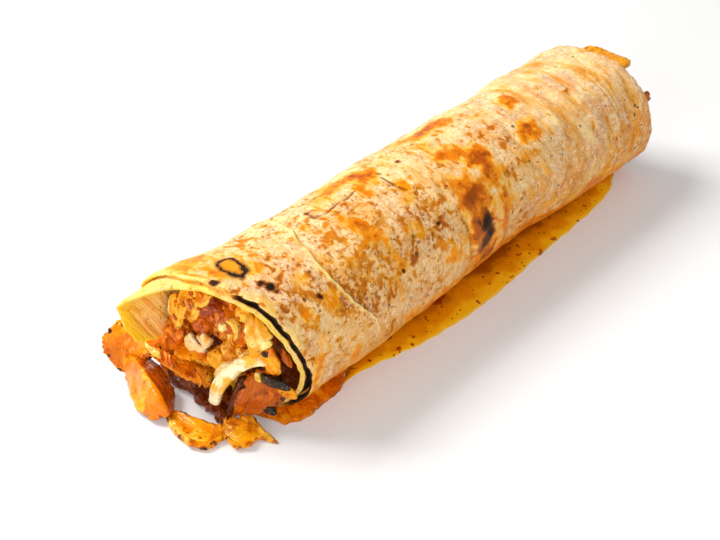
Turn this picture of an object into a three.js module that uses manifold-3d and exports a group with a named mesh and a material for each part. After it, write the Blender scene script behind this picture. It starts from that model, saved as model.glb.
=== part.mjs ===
// Gyro wrap: a thin flatbread rolled in a spiral round a filling of sliced, sauced chicken.
// The roll lies along X. Its open mouth is at -X and its other open end at +X.
// The origin is on the floor under the middle of the roll. Units are millimetres, +Z is up.
//
// The flatbread is one sheet. Seen from the mouth it starts as a free tail lying on the floor
// on the -Y side, passes under the roll, climbs the +Y side, goes over the top, comes down the
// -Y side, runs round once more inside itself, and ends inside the roll.
import * as THREE from 'three';
import { mergeVertices } from 'three/addons/utils/BufferGeometryUtils.js';
import Module from 'manifold-3d';

const wasm = await Module();
wasm.setup();

// ---- driving dimensions --------------------------------------------------------------------
const HALF_WIDTH = 31.4;        // roll, across
const TOP_HALF = 28.8;          // roll, from its middle height to its top
const LOW_HALF = 29.3;          // roll, from its middle height down, before the floor flattens it
const MID_HEIGHT = 28.5;        // height of the roll's axis
const LOW_POWER = 2.45;         // squareness of the lower half of the section
const BREAD = 1.6;              // flatbread thickness
const PITCH = 2.05;             // flatbread thickness plus the gap between its turns
const TURN_END = 680;           // degrees of sheet after the tail, to the inner edge
const TAIL_WIDE = 25.5;         // free tail at the mouth
const TAIL_NARROW = 13;         // free tail along the rest of the roll
const MOUTH_FLARE = 3.4;        // how far the +Y side opens outwards at the mouth
const GAP = 0.3;                // clearance kept between touching pieces
const FILL_FRONT = -101;        // mean position of the filling's face in the mouth
const FILL_BACK = 103;          // mean position of the filling's face at the other end

// Edge of the bread at the mouth: [section angle, x]. 0 is the -Y side, 90 the top, 180 the +Y side.
const MOUTH_OUTER = [[-90, -108], [-60, -104.2], [-38, -100.2], [-21, -99.4], [-9, -100.6], [5, -102.5], [26, -105.6], [45, -107.5], [61, -109.4], [70, -112], [80, -114.3], [95, -116.4], [110, -119.5], [140, -123], [165, -121], [200, -114], [235, -111.5], [270, -111]];
const MOUTH_INNER = [[-50, -106], [-36, -102], [-13, -102.2], [2, -103.8], [12, -105.4], [23, -106.9], [44, -109], [59, -111], [69, -113], [79, -115], [92, -117.6], [110, -122.5], [128, -133], [138, -136.5], [168, -132.6], [192, -129], [201, -113], [235, -110.5], [270, -110]];
const FAR_EDGE = [[-90, 108], [-45, 111], [-10, 108.5], [20, 106], [45, 103.5], [90, 100.5], [130, 103], [180, 107], [225, 109], [270, 108]];

// ---- helpers --------------------------------------------------------------------------------
const rad = (deg) => deg * Math.PI / 180;
const clamp = (v, lo, hi) => Math.min(hi, Math.max(lo, v));
const smooth = (e0, e1, v) => { const t = clamp((v - e0) / (e1 - e0), 0, 1); return t * t * (3 - 2 * t); };

function lookUp(table, at) {
  const v = clamp(at, table[0][0], table[table.length - 1][0]);
  for (let i = 1; i < table.length; i++) {
    if (v <= table[i][0]) {
      const [a, fa] = table[i - 1], [b, fb] = table[i];
      return fa + (fb - fa) * smooth(0, 1, (v - a) / (b - a));
    }
  }
  return table[table.length - 1][1];
}

// Slow unevenness of the roll, zero where it rests. The named bulges and dents are [angle, x, spread in degrees, spread in x, height].
const BULGES = [[-26, 22, 42, 24, -3.5], [-26, -10, 40, 12, -0.9], [138, -27, 40, 18, 1.3], [138, 43, 40, 12, -0.8], [-28, -64, 40, 16, 1]];
const bell = (d) => Math.exp(-d * d);
function lumpAt(theta, x) {
  const t = rad(theta);
  const free = smooth(-0.98, -0.55, Math.sin(t));
  const wrapTo = (c) => ((theta - c + 540) % 360 + 360) % 360 - 180;
  let h = 0.3 * Math.sin(2 * t + 0.021 * x + 0.6) + 0.25 * Math.sin(3 * t - 0.037 * x + 1.9) + 0.3 * Math.sin(0.055 * x + 0.8);
  for (const [c, xc, da, dx, height] of BULGES) h += height * bell(wrapTo(c) / da) * bell((x - xc) / dx);
  h += MOUTH_FLARE * bell(wrapTo(140) / 38) * (1 - smooth(-122, -90, x));
  return free * h;
}

// The unevenness runs straight between these stations along the roll, so that bread and filling stay parallel.
const STATIONS = [-92, -62, -34, -8, 18, 44, 72];
const SPAN = [-140, ...STATIONS, 114];
function lump(theta, x) {
  const i = Math.max(1, SPAN.findIndex((v) => v >= x));
  const a = SPAN[i - 1], b = SPAN[i];
  return lumpAt(theta, a) + (lumpAt(theta, b) - lumpAt(theta, a)) * (x - a) / (b - a);
}

// Point of the roll's section at a depth below the outer surface.
function section(theta, depth, x) {
  const c = Math.cos(rad(theta)), s = Math.sin(rad(theta));
  const power = s < 0 ? 2 + (LOW_POWER - 2) * smooth(0, 0.5, -s) : 2;
  const rho = 1 / Math.pow(Math.pow(Math.abs(c), power) + Math.pow(Math.abs(s), power), 1 / power);
  const half = s < 0 ? LOW_HALF : TOP_HALF;
  const swell = lump(theta, x) - depth;
  return [-(HALF_WIDTH + swell) * rho * c, Math.max(MID_HEIGHT + (half + swell) * rho * s, depth)];
}

const tailAt = (x) => TAIL_NARROW + (TAIL_WIDE - TAIL_NARROW) * (1 - smooth(-86, -58, x)) - 3 * smooth(-100, -108, x);

// Middle of the bread's thickness. run < 0 is the tail, from -1 at its free edge to 0 under the roll.
function breadMid(run, x) {
  if (run <= 0) return [tailAt(x) * run, BREAD / 2];
  const theta = 270 - run;
  return section(theta, BREAD / 2 + PITCH * run / 360, x);
}

function breadNear(run) {
  if (run <= 0) return -111 + 4 * smooth(0.3, 1, -run);
  if (run <= 352) return lookUp(MOUTH_OUTER, 270 - run);
  const inner = lookUp(MOUTH_INNER, 630 - run);
  return run < 368 ? -110.3 : inner;
}

function toGeometry(position, index) {
  const g = new THREE.BufferGeometry();
  g.setAttribute('position', new THREE.Float32BufferAttribute(position, 3));
  g.setIndex(index);
  return g;
}

// A closed slab from two grids of points, front and back, each nu by nv.
function closeGrid(front, back, nu, nv, flip) {
  const position = [...front, ...back].flat(), index = [];
  const a = (i, j) => i * nv + j, b = (i, j) => nu * nv + i * nv + j;
  const quad = (p, q, r, s) => flip ? index.push(p, r, q, p, s, r) : index.push(p, q, r, p, r, s);
  for (let i = 0; i < nu - 1; i++) for (let j = 0; j < nv - 1; j++) {
    quad(a(i, j), a(i + 1, j), a(i + 1, j + 1), a(i, j + 1));
    quad(b(i, j), b(i, j + 1), b(i + 1, j + 1), b(i + 1, j));
  }
  for (let i = 0; i < nu - 1; i++) {
    quad(a(i, 0), b(i, 0), b(i + 1, 0), a(i + 1, 0));
    quad(a(i, nv - 1), a(i + 1, nv - 1), b(i + 1, nv - 1), b(i, nv - 1));
  }
  for (let j = 0; j < nv - 1; j++) {
    quad(a(0, j), a(0, j + 1), b(0, j + 1), b(0, j));
    quad(a(nu - 1, j), b(nu - 1, j), b(nu - 1, j + 1), a(nu - 1, j + 1));
  }
  return toGeometry(position, index);
}

// ---- flatbread ------------------------------------------------------------------------------
const STEP = 9;

const RUNS = [-1, -0.75, -0.5, -0.25];
for (let i = 0, count = Math.round(TURN_END / STEP); i <= count; i++) RUNS.push(TURN_END * i / count);

function breadGeometry(from, to, grow) {
  const runs = RUNS.filter((run) => run >= from && run <= to);
  const thick = BREAD / 2 + grow, outer = [], inner = [];
  for (const run of runs) {
    const x0 = breadNear(run) - grow, x1 = (run <= 0 ? 108 : lookUp(FAR_EDGE, run <= 360 ? 270 - run : 630 - run)) + grow - (run > 360 ? 1 : 0);
    for (const x of [x0, (x0 + STATIONS[0]) / 2, ...STATIONS, x1]) {
      const h = run < 0 ? 0.02 : 1.5;
      const [y, z] = breadMid(run, x);
      const [ya, za] = breadMid(run <= 0 ? Math.max(run - h, -1) : run - h, x), [yb, zb] = breadMid(run < 0 ? Math.min(run + h, 0) : run + h, x);
      let ny = zb - za, nz = -(yb - ya);
      const len = Math.hypot(ny, nz) || 1;
      ny /= len; nz /= len;
      if (run <= 0) { ny = 0; nz = -1; }
      outer.push([x, y + ny * thick, z + nz * thick]);
      inner.push([x, y - ny * thick, z - nz * thick]);
    }
  }
  return closeGrid(outer, inner, runs.length, STATIONS.length + 3, false);
}

// ---- filling --------------------------------------------------------------------------------
// Depth of the filling's surface: just inside the innermost turn of bread.
function fillDepth(theta) {
  const inside = BREAD + PITCH * (630 - theta) / 360 + GAP + 0.1;
  const outside = BREAD + PITCH * (270 - theta) / 360 + GAP + 0.1;
  return theta < -60 ? outside : inside;
}

function fillingGeometry() {
  const around = 36, rings = [0.86, 0.6, 0.3];
  const position = [], index = [];
  const face = (theta, r, side) => {
    const t = rad(theta);
    const uneven = 2.2 * Math.sin(3 * t + 5 * r + side) + 1.8 * Math.sin(5 * t - 7 * r + 2 * side) + 2.4 * Math.sin(7 * r * Math.cos(t) + 3 * side);
    return uneven * (1 - 0.75 * smooth(0.8, 1, r));
  };
  const ring = (xOf, r, dx) => {
    for (let k = 0; k < around; k++) {
      const theta = -90 + 360 * k / around, x = xOf(theta);
      const end = x + dx(theta), [y, z] = section(theta, fillDepth(theta), end);
      position.push(end, y * r, MID_HEIGHT + (z - MID_HEIGHT) * r);
    }
  };
  const front = (theta) => FILL_FRONT + 3 * Math.sin(rad(theta) + 2.2), back = (theta) => FILL_BACK - 3 * Math.sin(rad(theta));
  position.push(FILL_FRONT - 1, 0, MID_HEIGHT);
  for (const r of [...rings].reverse()) ring(front, r, (theta) => face(theta, r, 1));
  ring(front, 1, (theta) => face(theta, 1, 1));
  for (const x of STATIONS) ring(() => x, 1, () => 0);
  ring(back, 1, (theta) => face(theta, 1, 2));
  for (const r of rings) ring(back, r, (theta) => face(theta, r, 2));
  position.push(FILL_BACK + 1, 0, MID_HEIGHT);
  const rows = rings.length * 2 + STATIONS.length + 2, last = 1 + rows * around;
  for (let i = 0; i < rows - 1; i++) for (let k = 0; k < around; k++) {
    const a = 1 + i * around + k, b = 1 + i * around + (k + 1) % around, c = a + around, d = b + around;
    index.push(a, d, b, a, c, d);
  }
  for (let k = 0; k < around; k++) {
    index.push(0, 1 + k, 1 + (k + 1) % around);
    index.push(last, 1 + (rows - 1) * around + (k + 1) % around, 1 + (rows - 1) * around + k);
  }
  return toGeometry(position, index);
}

// ---- slices of meat -------------------------------------------------------------------------
const spline = (points) => new THREE.CatmullRomCurve3(points.map((p) => new THREE.Vector3(...p)), false, 'centripetal');

// A slice between two edges. Each station holds one edge point, an optional middle point and the other edge point.
function sliceGeometry({ stations, thick, bulge = 0, ruffle = 0, nu = 9, nv = 5 }, grow) {
  const left = spline(stations.map((s) => s[0])), right = spline(stations.map((s) => s[s.length - 1]));
  const ridge = stations[0].length === 3 ? spline(stations.map((s) => s[1])) : null;
  const at = (u, v) => {
    const l = left.getPoint(clamp(u, 0, 1)), r = right.getPoint(clamp(u, 0, 1));
    const m = ridge ? ridge.getPoint(clamp(u, 0, 1)) : l.clone().add(r).multiplyScalar(0.5);
    const w = (v + 1) / 2, wave = 1 + ruffle * Math.sin(9 * u + 2.3 * v);
    const p = new THREE.Vector3();
    if (ridge) p.addScaledVector(l, 2 * (w - 0.5) * (w - 1)).addScaledVector(m, -4 * w * (w - 1)).addScaledVector(r, 2 * w * (w - 0.5));
    else p.copy(l).lerp(r, w);
    return p.sub(m).multiplyScalar(wave).add(m);
  };
  const front = [], back = [];
  for (let i = 0; i < nu; i++) for (let j = 0; j < nv; j++) {
    const u = i / (nu - 1), v = -1 + 2 * j / (nv - 1), e = 0.04;
    const p = at(u, v);
    const du = at(Math.min(u + e, 1), v).sub(at(Math.max(u - e, 0), v)), dv = at(u, v + e).sub(at(u, v - e));
    const n = du.clone().cross(dv);
    if (n.length() < 1e-6) n.set(0, 0, 1);
    n.normalize();
    const taper = (0.45 + 0.55 * (1 - Math.pow(Math.abs(v), 3))) * (0.55 + 0.45 * Math.sin(Math.PI * clamp(u, 0.04, 0.96)));
    const half = thick / 2 * taper + grow;
    p.addScaledVector(n, bulge * (1 - v * v));
    if (grow) {
      p.addScaledVector(dv.clone().normalize(), grow * v);
      if (i === 0) p.addScaledVector(du.clone().normalize(), -grow);
      if (i === nu - 1) p.addScaledVector(du.clone().normalize(), grow);
    }
    const a = p.clone().addScaledVector(n, half), b = p.clone().addScaledVector(n, -half);
    const floor = 0.06 - grow;
    const lift = Math.max(0, floor - Math.min(a.z, b.z));
    front.push([a.x, a.y, a.z + lift]); back.push([b.x, b.y, b.z + lift]);
  }
  return closeGrid(front, back, nu, nv, false);
}

// A rounded, uneven lump.
function lumpGeometry({ centre, radii, turn = [0, 0, 0], rough = 0.12, seed = 1 }, grow) {
  const g = mergeVertices((() => { const b = new THREE.IcosahedronGeometry(1, 2); b.deleteAttribute('normal'); b.deleteAttribute('uv'); return b; })(), 1e-4);
  const p = g.attributes.position, q = new THREE.Quaternion().setFromEuler(new THREE.Euler(...turn.map(rad)));
  for (let i = 0; i < p.count; i++) {
    const d = new THREE.Vector3().fromBufferAttribute(p, i).normalize();
    const k = 1 + rough * (Math.sin(4.1 * d.x + seed) + Math.sin(5.3 * d.y + 2 * seed) + Math.sin(4.7 * d.z + 3 * seed)) / 1.6;
    d.set(d.x * (radii[0] * k + grow), d.y * (radii[1] * k + grow), d.z * (radii[2] * k + grow)).applyQuaternion(q);
    p.setXYZ(i, centre[0] + d.x, centre[1] + d.y, Math.max(centre[2] + d.z, 0.06 - grow));
  }
  return g;
}

// Pieces in the order in which each keeps its full shape. Later ones are cut back where they touch.
const SLICES = {
  slice_left: { thick: 3.4, bulge: -1.5, stations: [[[-122.5, 44, 21.5], [-117, 30.5, 17.5]], [[-130.6, 45.3, 17], [-120, 31, 14.5]], [[-132.1, 44.2, 11], [-123.5, 32.2, 11.5]], [[-130.8, 41.4, 6], [-126.4, 34, 7]], [[-129, 38, 1.6], [-126.8, 35.4, 1.6]]] },
  slice_folded: { thick: 3, stations: [[[-128, 40.6, 4.5], [-127.6, 34.6, 8.4], [-121.5, 33, 5.5]], [[-129.8, 33.5, 2.2], [-129, 23, 10.5], [-120.9, 25.2, 5.5]], [[-134.7, 27.6, 1.8], [-132, 16, 10], [-123.9, 16.5, 4.5]], [[-137.3, 19.5, 1.8], [-133.8, 10.8, 8], [-127.2, 12.8, 3.5]], [[-136.4, 10.5, 1.8], [-133, 8.6, 4.2], [-129.6, 9.6, 2.4]]] },
  slice_front: { thick: 3.2, bulge: 1.2, nu: 10, stations: [[[-128.6, 11, 2.4], [-132.6, 10.4, 1.8]], [[-127.4, 6.2, 2.6], [-135.6, 3.4, 1.8]], [[-126.2, 0.6, 2.8], [-136.2, -5.4, 1.8]], [[-124, -4.8, 2.8], [-132.8, -10.6, 1.8]], [[-122.4, -7.4, 2.4], [-127.4, -11.2, 1.8]]] },
  slice_frilled: { thick: 2.6, bulge: 0.8, ruffle: 0.1, nu: 10, stations: [[[-121.6, -4.6, 3.2], [-126, -12.2, 1.8]], [[-118.2, -8.4, 4], [-126, -18.2, 1.8]], [[-114, -12.2, 4.2], [-121.7, -21, 1.6]], [[-114.2, -17, 3.2], [-118.1, -20.4, 1.5]], [[-113.9, -24.6, 1.4], [-114.8, -25.3, 1.3]]] },
  strand: { thick: 4.2, bulge: 0.6, nu: 12, stations: [[[-106.5, -14, 30.6], [-107, -20.5, 28]], [[-111, -11, 30.1], [-112, -15.2, 27.7]], [[-114, -7.1, 27.5], [-115, -11.6, 25.2]], [[-117, -4.1, 23.3], [-118, -9.2, 21.4]], [[-119, -0.6, 15.5], [-120, -6.6, 16.2]], [[-119.5, 2.6, 5.6], [-120, -3.3, 7.6]]] },
  slice_large: { thick: 4.5, bulge: -2, nu: 10, stations: [[[-108.5, -7.4, 19.5], [-106, -14.2, 24]], [[-113.5, -7.6, 16], [-105.4, -21.4, 18.2]], [[-117.4, -8.4, 12], [-106, -20.5, 10.6]], [[-118.8, -7, 5.6], [-111, -14.6, 5]], [[-118.4, -7.4, 3.4], [-114.6, -10.2, 3]]] },
  slice_ridged_low: { thick: 3, ruffle: 0.05, nu: 11, stations: [[[-124, 29.2, 16.8], [-124, 28, 14.3]], [[-120, 27.3, 14.4], [-123, 21.1, 12.6]], [[-118, 21.5, 14], [-123, 12.5, 13]], [[-116, 14.7, 14.2], [-121.6, 5.6, 13.2]], [[-113, 6.4, 14], [-119.5, 0.6, 14.6]]] },
  slice_ridged_top: { thick: 2.8, stations: [[[-121.5, 18, 19.8], [-122.4, 13.6, 20.8]], [[-115.5, 18.6, 19.6], [-120.6, 9.2, 21.8]], [[-113, 12, 21.6], [-119.4, 3.6, 23]], [[-111, 6.2, 20.6], [-117, 1.4, 21.8]]] },
  slice_jagged: { thick: 2.8, bulge: 1, stations: [[[-106, -9.4, 44], [-105, -11.6, 42.8]], [[-110, -9.2, 38.6], [-108, -18.2, 40]], [[-112, -12, 35.7], [-110, -19, 36.8]], [[-110.6, -14.6, 32.8], [-109.4, -17.2, 33.4]]] },
  slice_charred: { thick: 3.4, stations: [[[-109.4, -15.4, 24.6], [-110.4, -16, 21.6]], [[-107.6, -21, 24.4], [-109.4, -21.4, 20.2]], [[-105.4, -24.4, 20.6], [-106.6, -24, 17.6]]] },
  slice_side: { thick: 2.4, stations: [[[-105, -19.6, 35], [-103, -21.4, 30.6]], [[-106, -21, 29.6], [-103.4, -23.4, 25.4]]] },
  slice_mid: { thick: 3.2, bulge: 1, stations: [[[-112, 7, 22.6], [-116, 1.8, 20.6]], [[-111, -0.4, 29], [-115.4, -3.6, 26.4]], [[-110, -7, 32.8], [-113.4, -8, 30.4]]] },
  slice_under: { thick: 2.2, stations: [[[-117.6, 24.6, 8], [-119.4, 25.6, 4]], [[-116, 17.2, 6.4], [-120.4, 17, 2.4]], [[-114.8, 9, 6.2], [-117.6, 10.6, 2.4]], [[-113.2, 0, 5.4], [-116.2, 1, 2.4]]] },
  slice_far_top: { thick: 3.2, bulge: 1, stations: [[[96, 12, 47.5], [94, -12, 45.5]], [[104, 10.4, 48.4], [104, -12.6, 45.6]], [[111, 8, 48.8], [113, -12.8, 45.4]], [[115.6, 2, 48.2], [118, -11, 44.6]]] },
  slice_far_side: { thick: 3, bulge: 0.6, stations: [[[100, -19, 37.5], [100, -21.5, 30.5]], [[108, -19.8, 37.4], [109, -22, 31.4]], [[116.8, -21.6, 38], [116.6, -23, 34.4]]] },
  slice_far_low: { thick: 3.4, bulge: 1, stations: [[[98, 14, 20], [98, 0, 14]], [[105, 13, 20], [106, 1, 15]], [[110, 10, 19], [110.6, 3, 16]]] },
};
const LUMPS = {
  chunk_top: { centre: [-111, 12.4, 40], radii: [7.4, 10.4, 8.4], turn: [20, 0, 0], seed: 2 },
  chunk_brown: { centre: [-113.6, 23, 21.6], radii: [6.2, 4.6, 7.2], turn: [10, 0, 0], seed: 5, rough: 0.16 },
  chunk_pale: { centre: [-113.2, 9.2, 26.4], radii: [4.6, 6.8, 4], turn: [-25, 0, 0], seed: 3 },
  chunk_middle: { centre: [-106.6, 1.4, 38.6], radii: [7, 11, 8.6], turn: [25, 0, 0], seed: 7, rough: 0.16 },
  chunk_curl: { centre: [-113, -4.4, 36.6], radii: [4.4, 4, 5.6], seed: 4 },
  chunk_far: { centre: [103.4, 10, 33], radii: [6, 9, 8], seed: 6, rough: 0.16 },
};

const toSolid = (geometry) => {
  const g = mergeVertices(geometry, 1e-5);
  return new wasm.Manifold(new wasm.Mesh({ numProp: 3, vertProperties: new Float32Array(g.attributes.position.array), triVerts: new Uint32Array(g.index.array) }));
};
const toGeometryFrom = (solid) => {
  const m = solid.getMesh();
  return toGeometry(Array.from(m.vertProperties), Array.from(m.triVerts));
};
const largest = (solid) => solid.decompose().sort((a, b) => b.volume() - a.volume())[0];
const meets = (a, b) => {
  const p = a.boundingBox(), q = b.boundingBox();
  return [0, 1, 2].every((i) => p.min[i] <= q.max[i] && q.min[i] <= p.max[i]);
};

const breadGrown = [toSolid(breadGeometry(-1, 356, GAP)), toSolid(breadGeometry(346, TURN_END, GAP))];
const solids = new Map(), grown = [];
const make = (name, build, spec) => {
  let solid = toSolid(build(spec, 0));
  for (const other of [...breadGrown, ...grown]) if (meets(solid, other)) solid = solid.subtract(other);
  solids.set(name, largest(solid).simplify(0.06));
  grown.push(toSolid(build(spec, GAP)));
};
for (const [name, spec] of Object.entries(SLICES)) make(name, sliceGeometry, spec);
for (const [name, spec] of Object.entries(LUMPS)) make(name, lumpGeometry, spec);

let core = toSolid(fillingGeometry());
for (const other of grown) if (meets(core, other)) core = core.subtract(other);
solids.set('filling', largest(core).simplify(0.06));

// ---- scene graph ----------------------------------------------------------------------------
const meat = (color, roughness) => new THREE.MeshStandardMaterial({ color, roughness, metalness: 0 });
const COLOURS = {
  filling: [0x9c4a14, 0.45], slice_left: [0xe08a1e, 0.4], slice_folded: [0xdc8a24, 0.35], slice_front: [0xd98c22, 0.35], slice_frilled: [0xe0a23a, 0.35],
  strand: [0xf0d8a0, 0.45], slice_large: [0xb8601c, 0.4], slice_ridged_low: [0xc4701e, 0.45], slice_ridged_top: [0xd07418, 0.4], slice_jagged: [0xecb860, 0.4],
  slice_charred: [0xc8843c, 0.5], slice_side: [0xa85c20, 0.45], slice_mid: [0xdc8c2c, 0.4], slice_under: [0xb09050, 0.45], slice_far_top: [0xe08c1c, 0.4],
  slice_far_side: [0x9a4418, 0.45], slice_far_low: [0xc07428, 0.45], chunk_top: [0xd07c20, 0.35], chunk_brown: [0xa45418, 0.45], chunk_pale: [0xecc8a4, 0.4],
  chunk_middle: [0xa84c14, 0.35], chunk_curl: [0xe4b050, 0.4], chunk_far: [0xb46420, 0.45],
};

const wrap = new THREE.Group();
wrap.name = 'gyro_wrap';
const bread = new THREE.Mesh(breadGeometry(-1, TURN_END, 0), new THREE.MeshStandardMaterial({ color: 0xe6c79c, roughness: 0.75, metalness: 0 }));
bread.name = 'flatbread';
wrap.add(bread);
const contents = new THREE.Group();
wrap.add(contents);
for (const [name, solid] of solids) {
  const mesh = new THREE.Mesh(toGeometryFrom(solid), meat(...COLOURS[name]));
  mesh.name = name;
  contents.add(mesh);
}

export default wrap;
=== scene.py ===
import math
import bpy
import numpy as np
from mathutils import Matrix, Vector


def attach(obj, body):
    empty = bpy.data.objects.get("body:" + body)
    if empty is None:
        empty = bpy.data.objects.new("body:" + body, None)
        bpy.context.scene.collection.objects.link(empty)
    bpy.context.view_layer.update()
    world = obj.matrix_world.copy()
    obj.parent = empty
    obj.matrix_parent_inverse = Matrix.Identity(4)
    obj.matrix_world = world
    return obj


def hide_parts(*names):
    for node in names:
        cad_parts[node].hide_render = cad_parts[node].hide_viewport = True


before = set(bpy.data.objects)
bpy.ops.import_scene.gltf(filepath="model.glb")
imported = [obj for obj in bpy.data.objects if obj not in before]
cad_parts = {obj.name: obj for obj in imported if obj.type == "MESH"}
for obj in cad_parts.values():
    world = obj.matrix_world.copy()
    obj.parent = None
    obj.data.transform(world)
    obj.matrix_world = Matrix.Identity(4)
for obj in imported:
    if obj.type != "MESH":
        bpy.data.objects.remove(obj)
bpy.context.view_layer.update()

MM = 0.001

# ---------------------------------------------------------------------------
# Numbers shared with the CAD model (millimetres and degrees)
# ---------------------------------------------------------------------------
HALF_WIDTH, TOP_HALF, LOW_HALF, MID_HEIGHT, LOW_POWER = 31.4, 28.8, 29.3, 28.5, 2.45
BREAD, PITCH, TURN_END = 1.6, 2.05, 680.0
TAIL_WIDE, TAIL_NARROW = 25.5, 13.0
MOUTH_FLARE = 3.4
FILL_FRONT, FILL_BACK = -101.0, 103.0
MOUTH_OUTER = [(-90, -108), (-60, -104.2), (-38, -100.2), (-21, -99.4), (-9, -100.6), (5, -102.5), (26, -105.6), (45, -107.5), (61, -109.4), (70, -112), (80, -114.3), (95, -116.4), (110, -119.5), (140, -123), (165, -121), (200, -114), (235, -111.5), (270, -111)]
MOUTH_INNER = [(-50, -106), (-36, -102), (-13, -102.2), (2, -103.8), (12, -105.4), (23, -106.9), (44, -109), (59, -111), (69, -113), (79, -115), (92, -117.6), (110, -122.5), (128, -133), (138, -136.5), (168, -132.6), (192, -129), (201, -113), (235, -110.5), (270, -110)]
FAR_EDGE = [(-90, 108), (-45, 111), (-10, 108.5), (20, 106), (45, 103.5), (90, 100.5), (130, 103), (180, 107), (225, 109), (270, 108)]
BULGES = [(-26, 22, 42, 24, -3.5), (-26, -10, 40, 12, -0.9), (138, -27, 40, 18, 1.3), (138, 43, 40, 12, -0.8), (-28, -64, 40, 16, 1.0)]


# ---------------------------------------------------------------------------
# Noise on numpy arrays
# ---------------------------------------------------------------------------
def _hash(ix, iy, iz, seed):
    h = (ix.astype(np.int64) * 374761393 + iy.astype(np.int64) * 668265263 + iz.astype(np.int64) * 2246822519 + seed * 3266489917) & 0xFFFFFFFF
    h = ((h ^ (h >> 15)) * 2246822519) & 0xFFFFFFFF
    h = ((h ^ (h >> 13)) * 3266489917) & 0xFFFFFFFF
    h ^= h >> 16
    return h / 4294967295.0


def noise(p, seed=0):
    """Value noise from -1 to 1 at points p (..., 3)."""
    p = np.asarray(p, float)
    i = np.floor(p).astype(np.int64)
    f = p - i
    f = f * f * f * (f * (f * 6 - 15) + 10)
    x, y, z = i[..., 0], i[..., 1], i[..., 2]
    fx, fy, fz = f[..., 0], f[..., 1], f[..., 2]
    out = 0
    for dx in (0, 1):
        for dy in (0, 1):
            for dz in (0, 1):
                w = (fx if dx else 1 - fx) * (fy if dy else 1 - fy) * (fz if dz else 1 - fz)
                out = out + w * _hash(x + dx, y + dy, z + dz, seed)
    return out * 2 - 1


def fbm(p, size, octaves=4, seed=0, gain=0.5):
    """Layered noise, about -1 to 1. size is the feature size in the units of p."""
    p = np.asarray(p, float) / size
    out, amp, total = 0, 1.0, 0.0
    for k in range(octaves):
        out = out + amp * noise(p * 2 ** k + 17.3 * k, seed + 31 * k)
        total += amp
        amp *= gain
    return out / total * 1.6


def cells(p, size, seed=0):
    """Distance to the nearest of scattered points, in units of size, and that point's own random number."""
    p = np.asarray(p, float) / size
    i = np.floor(p).astype(np.int64)
    best = np.full(p.shape[:-1], 9.0)
    who = np.zeros(p.shape[:-1])
    for dx in (-1, 0, 1):
        for dy in (-1, 0, 1):
            for dz in (-1, 0, 1):
                c = i + np.array([dx, dy, dz])
                h = [_hash(c[..., 0], c[..., 1], c[..., 2], seed + 101 * k) for k in range(4)]
                d = np.sqrt((c[..., 0] + h[0] - p[..., 0]) ** 2 + (c[..., 1] + h[1] - p[..., 1]) ** 2 + (c[..., 2] + h[2] - p[..., 2]) ** 2)
                near = d < best
                best = np.where(near, d, best)
                who = np.where(near, h[3], who)
    return best, who


def smooth(e0, e1, v):
    t = np.clip((np.asarray(v, float) - e0) / (e1 - e0), 0, 1)
    return t * t * (3 - 2 * t)


def bell(d):
    return np.exp(-np.square(d))


def table(rows, at):
    """Smooth interpolation in a short table."""
    xs = np.array([r[0] for r in rows], float)
    ys = np.array([r[1] for r in rows], float)
    at = np.clip(np.asarray(at, float), xs[0], xs[-1])
    i = np.clip(np.searchsorted(xs, at, side="left"), 1, len(xs) - 1)
    t = (at - xs[i - 1]) / (xs[i] - xs[i - 1])
    return ys[i - 1] + (ys[i] - ys[i - 1]) * t * t * (3 - 2 * t)


# ---------------------------------------------------------------------------
# Section of the roll
# ---------------------------------------------------------------------------
def turn_to(theta, c):
    return (theta - c + 180) % 360 - 180


def lump(theta, x):
    t = np.radians(theta)
    free = smooth(-0.98, -0.55, np.sin(t))
    h = 0.3 * np.sin(2 * t + 0.021 * x + 0.6) + 0.25 * np.sin(3 * t - 0.037 * x + 1.9) + 0.3 * np.sin(0.055 * x + 0.8)
    for c, xc, da, dx, height in BULGES:
        h = h + height * bell(turn_to(theta, c) / da) * bell((x - xc) / dx)
    h = h + MOUTH_FLARE * bell(turn_to(theta, 140) / 38) * (1 - smooth(-122, -90, x))
    return free * h


def section(theta, depth, x, extra=0.0):
    t = np.radians(theta)
    c, s = np.cos(t), np.sin(t)
    power = np.where(s < 0, 2 + (LOW_POWER - 2) * smooth(0, 0.5, -s), 2.0)
    rho = 1 / np.power(np.abs(c) ** power + np.abs(s) ** power, 1 / power)
    half = np.where(s < 0, LOW_HALF, TOP_HALF)
    swell = lump(theta, x) - depth + extra
    y = -(HALF_WIDTH + swell) * rho * c
    z = np.maximum(MID_HEIGHT + (half + swell) * rho * s, np.asarray(depth, float) * np.ones_like(y))
    return y, z


def tail_at(x):
    return TAIL_NARROW + (TAIL_WIDE - TAIL_NARROW) * (1 - smooth(-86, -58, x)) - 3 * smooth(-100, -108, x)


# ---------------------------------------------------------------------------
# Meshes
# ---------------------------------------------------------------------------
def make_object(name, verts, faces, smooth_shade=True):
    me = bpy.data.meshes.new(name)
    verts = np.asarray(verts, float)
    me.vertices.add(len(verts))
    me.vertices.foreach_set("co", (verts * MM).ravel())
    faces = [f for f in faces]
    flat = np.concatenate([np.asarray(f, np.int32).ravel() for f in faces])
    sizes = np.concatenate([np.full(len(f), np.asarray(f).shape[1], np.int32) for f in faces])
    me.loops.add(len(flat))
    me.loops.foreach_set("vertex_index", flat)
    starts = np.concatenate([[0], np.cumsum(sizes)[:-1]]).astype(np.int32)
    me.polygons.add(len(sizes))
    me.polygons.foreach_set("loop_start", starts)
    me.polygons.foreach_set("use_smooth", np.full(len(sizes), smooth_shade))
    me.update(calc_edges=True)
    me.validate()
    ob = bpy.data.objects.new(name, me)
    bpy.context.scene.collection.objects.link(ob)
    return ob


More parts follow.
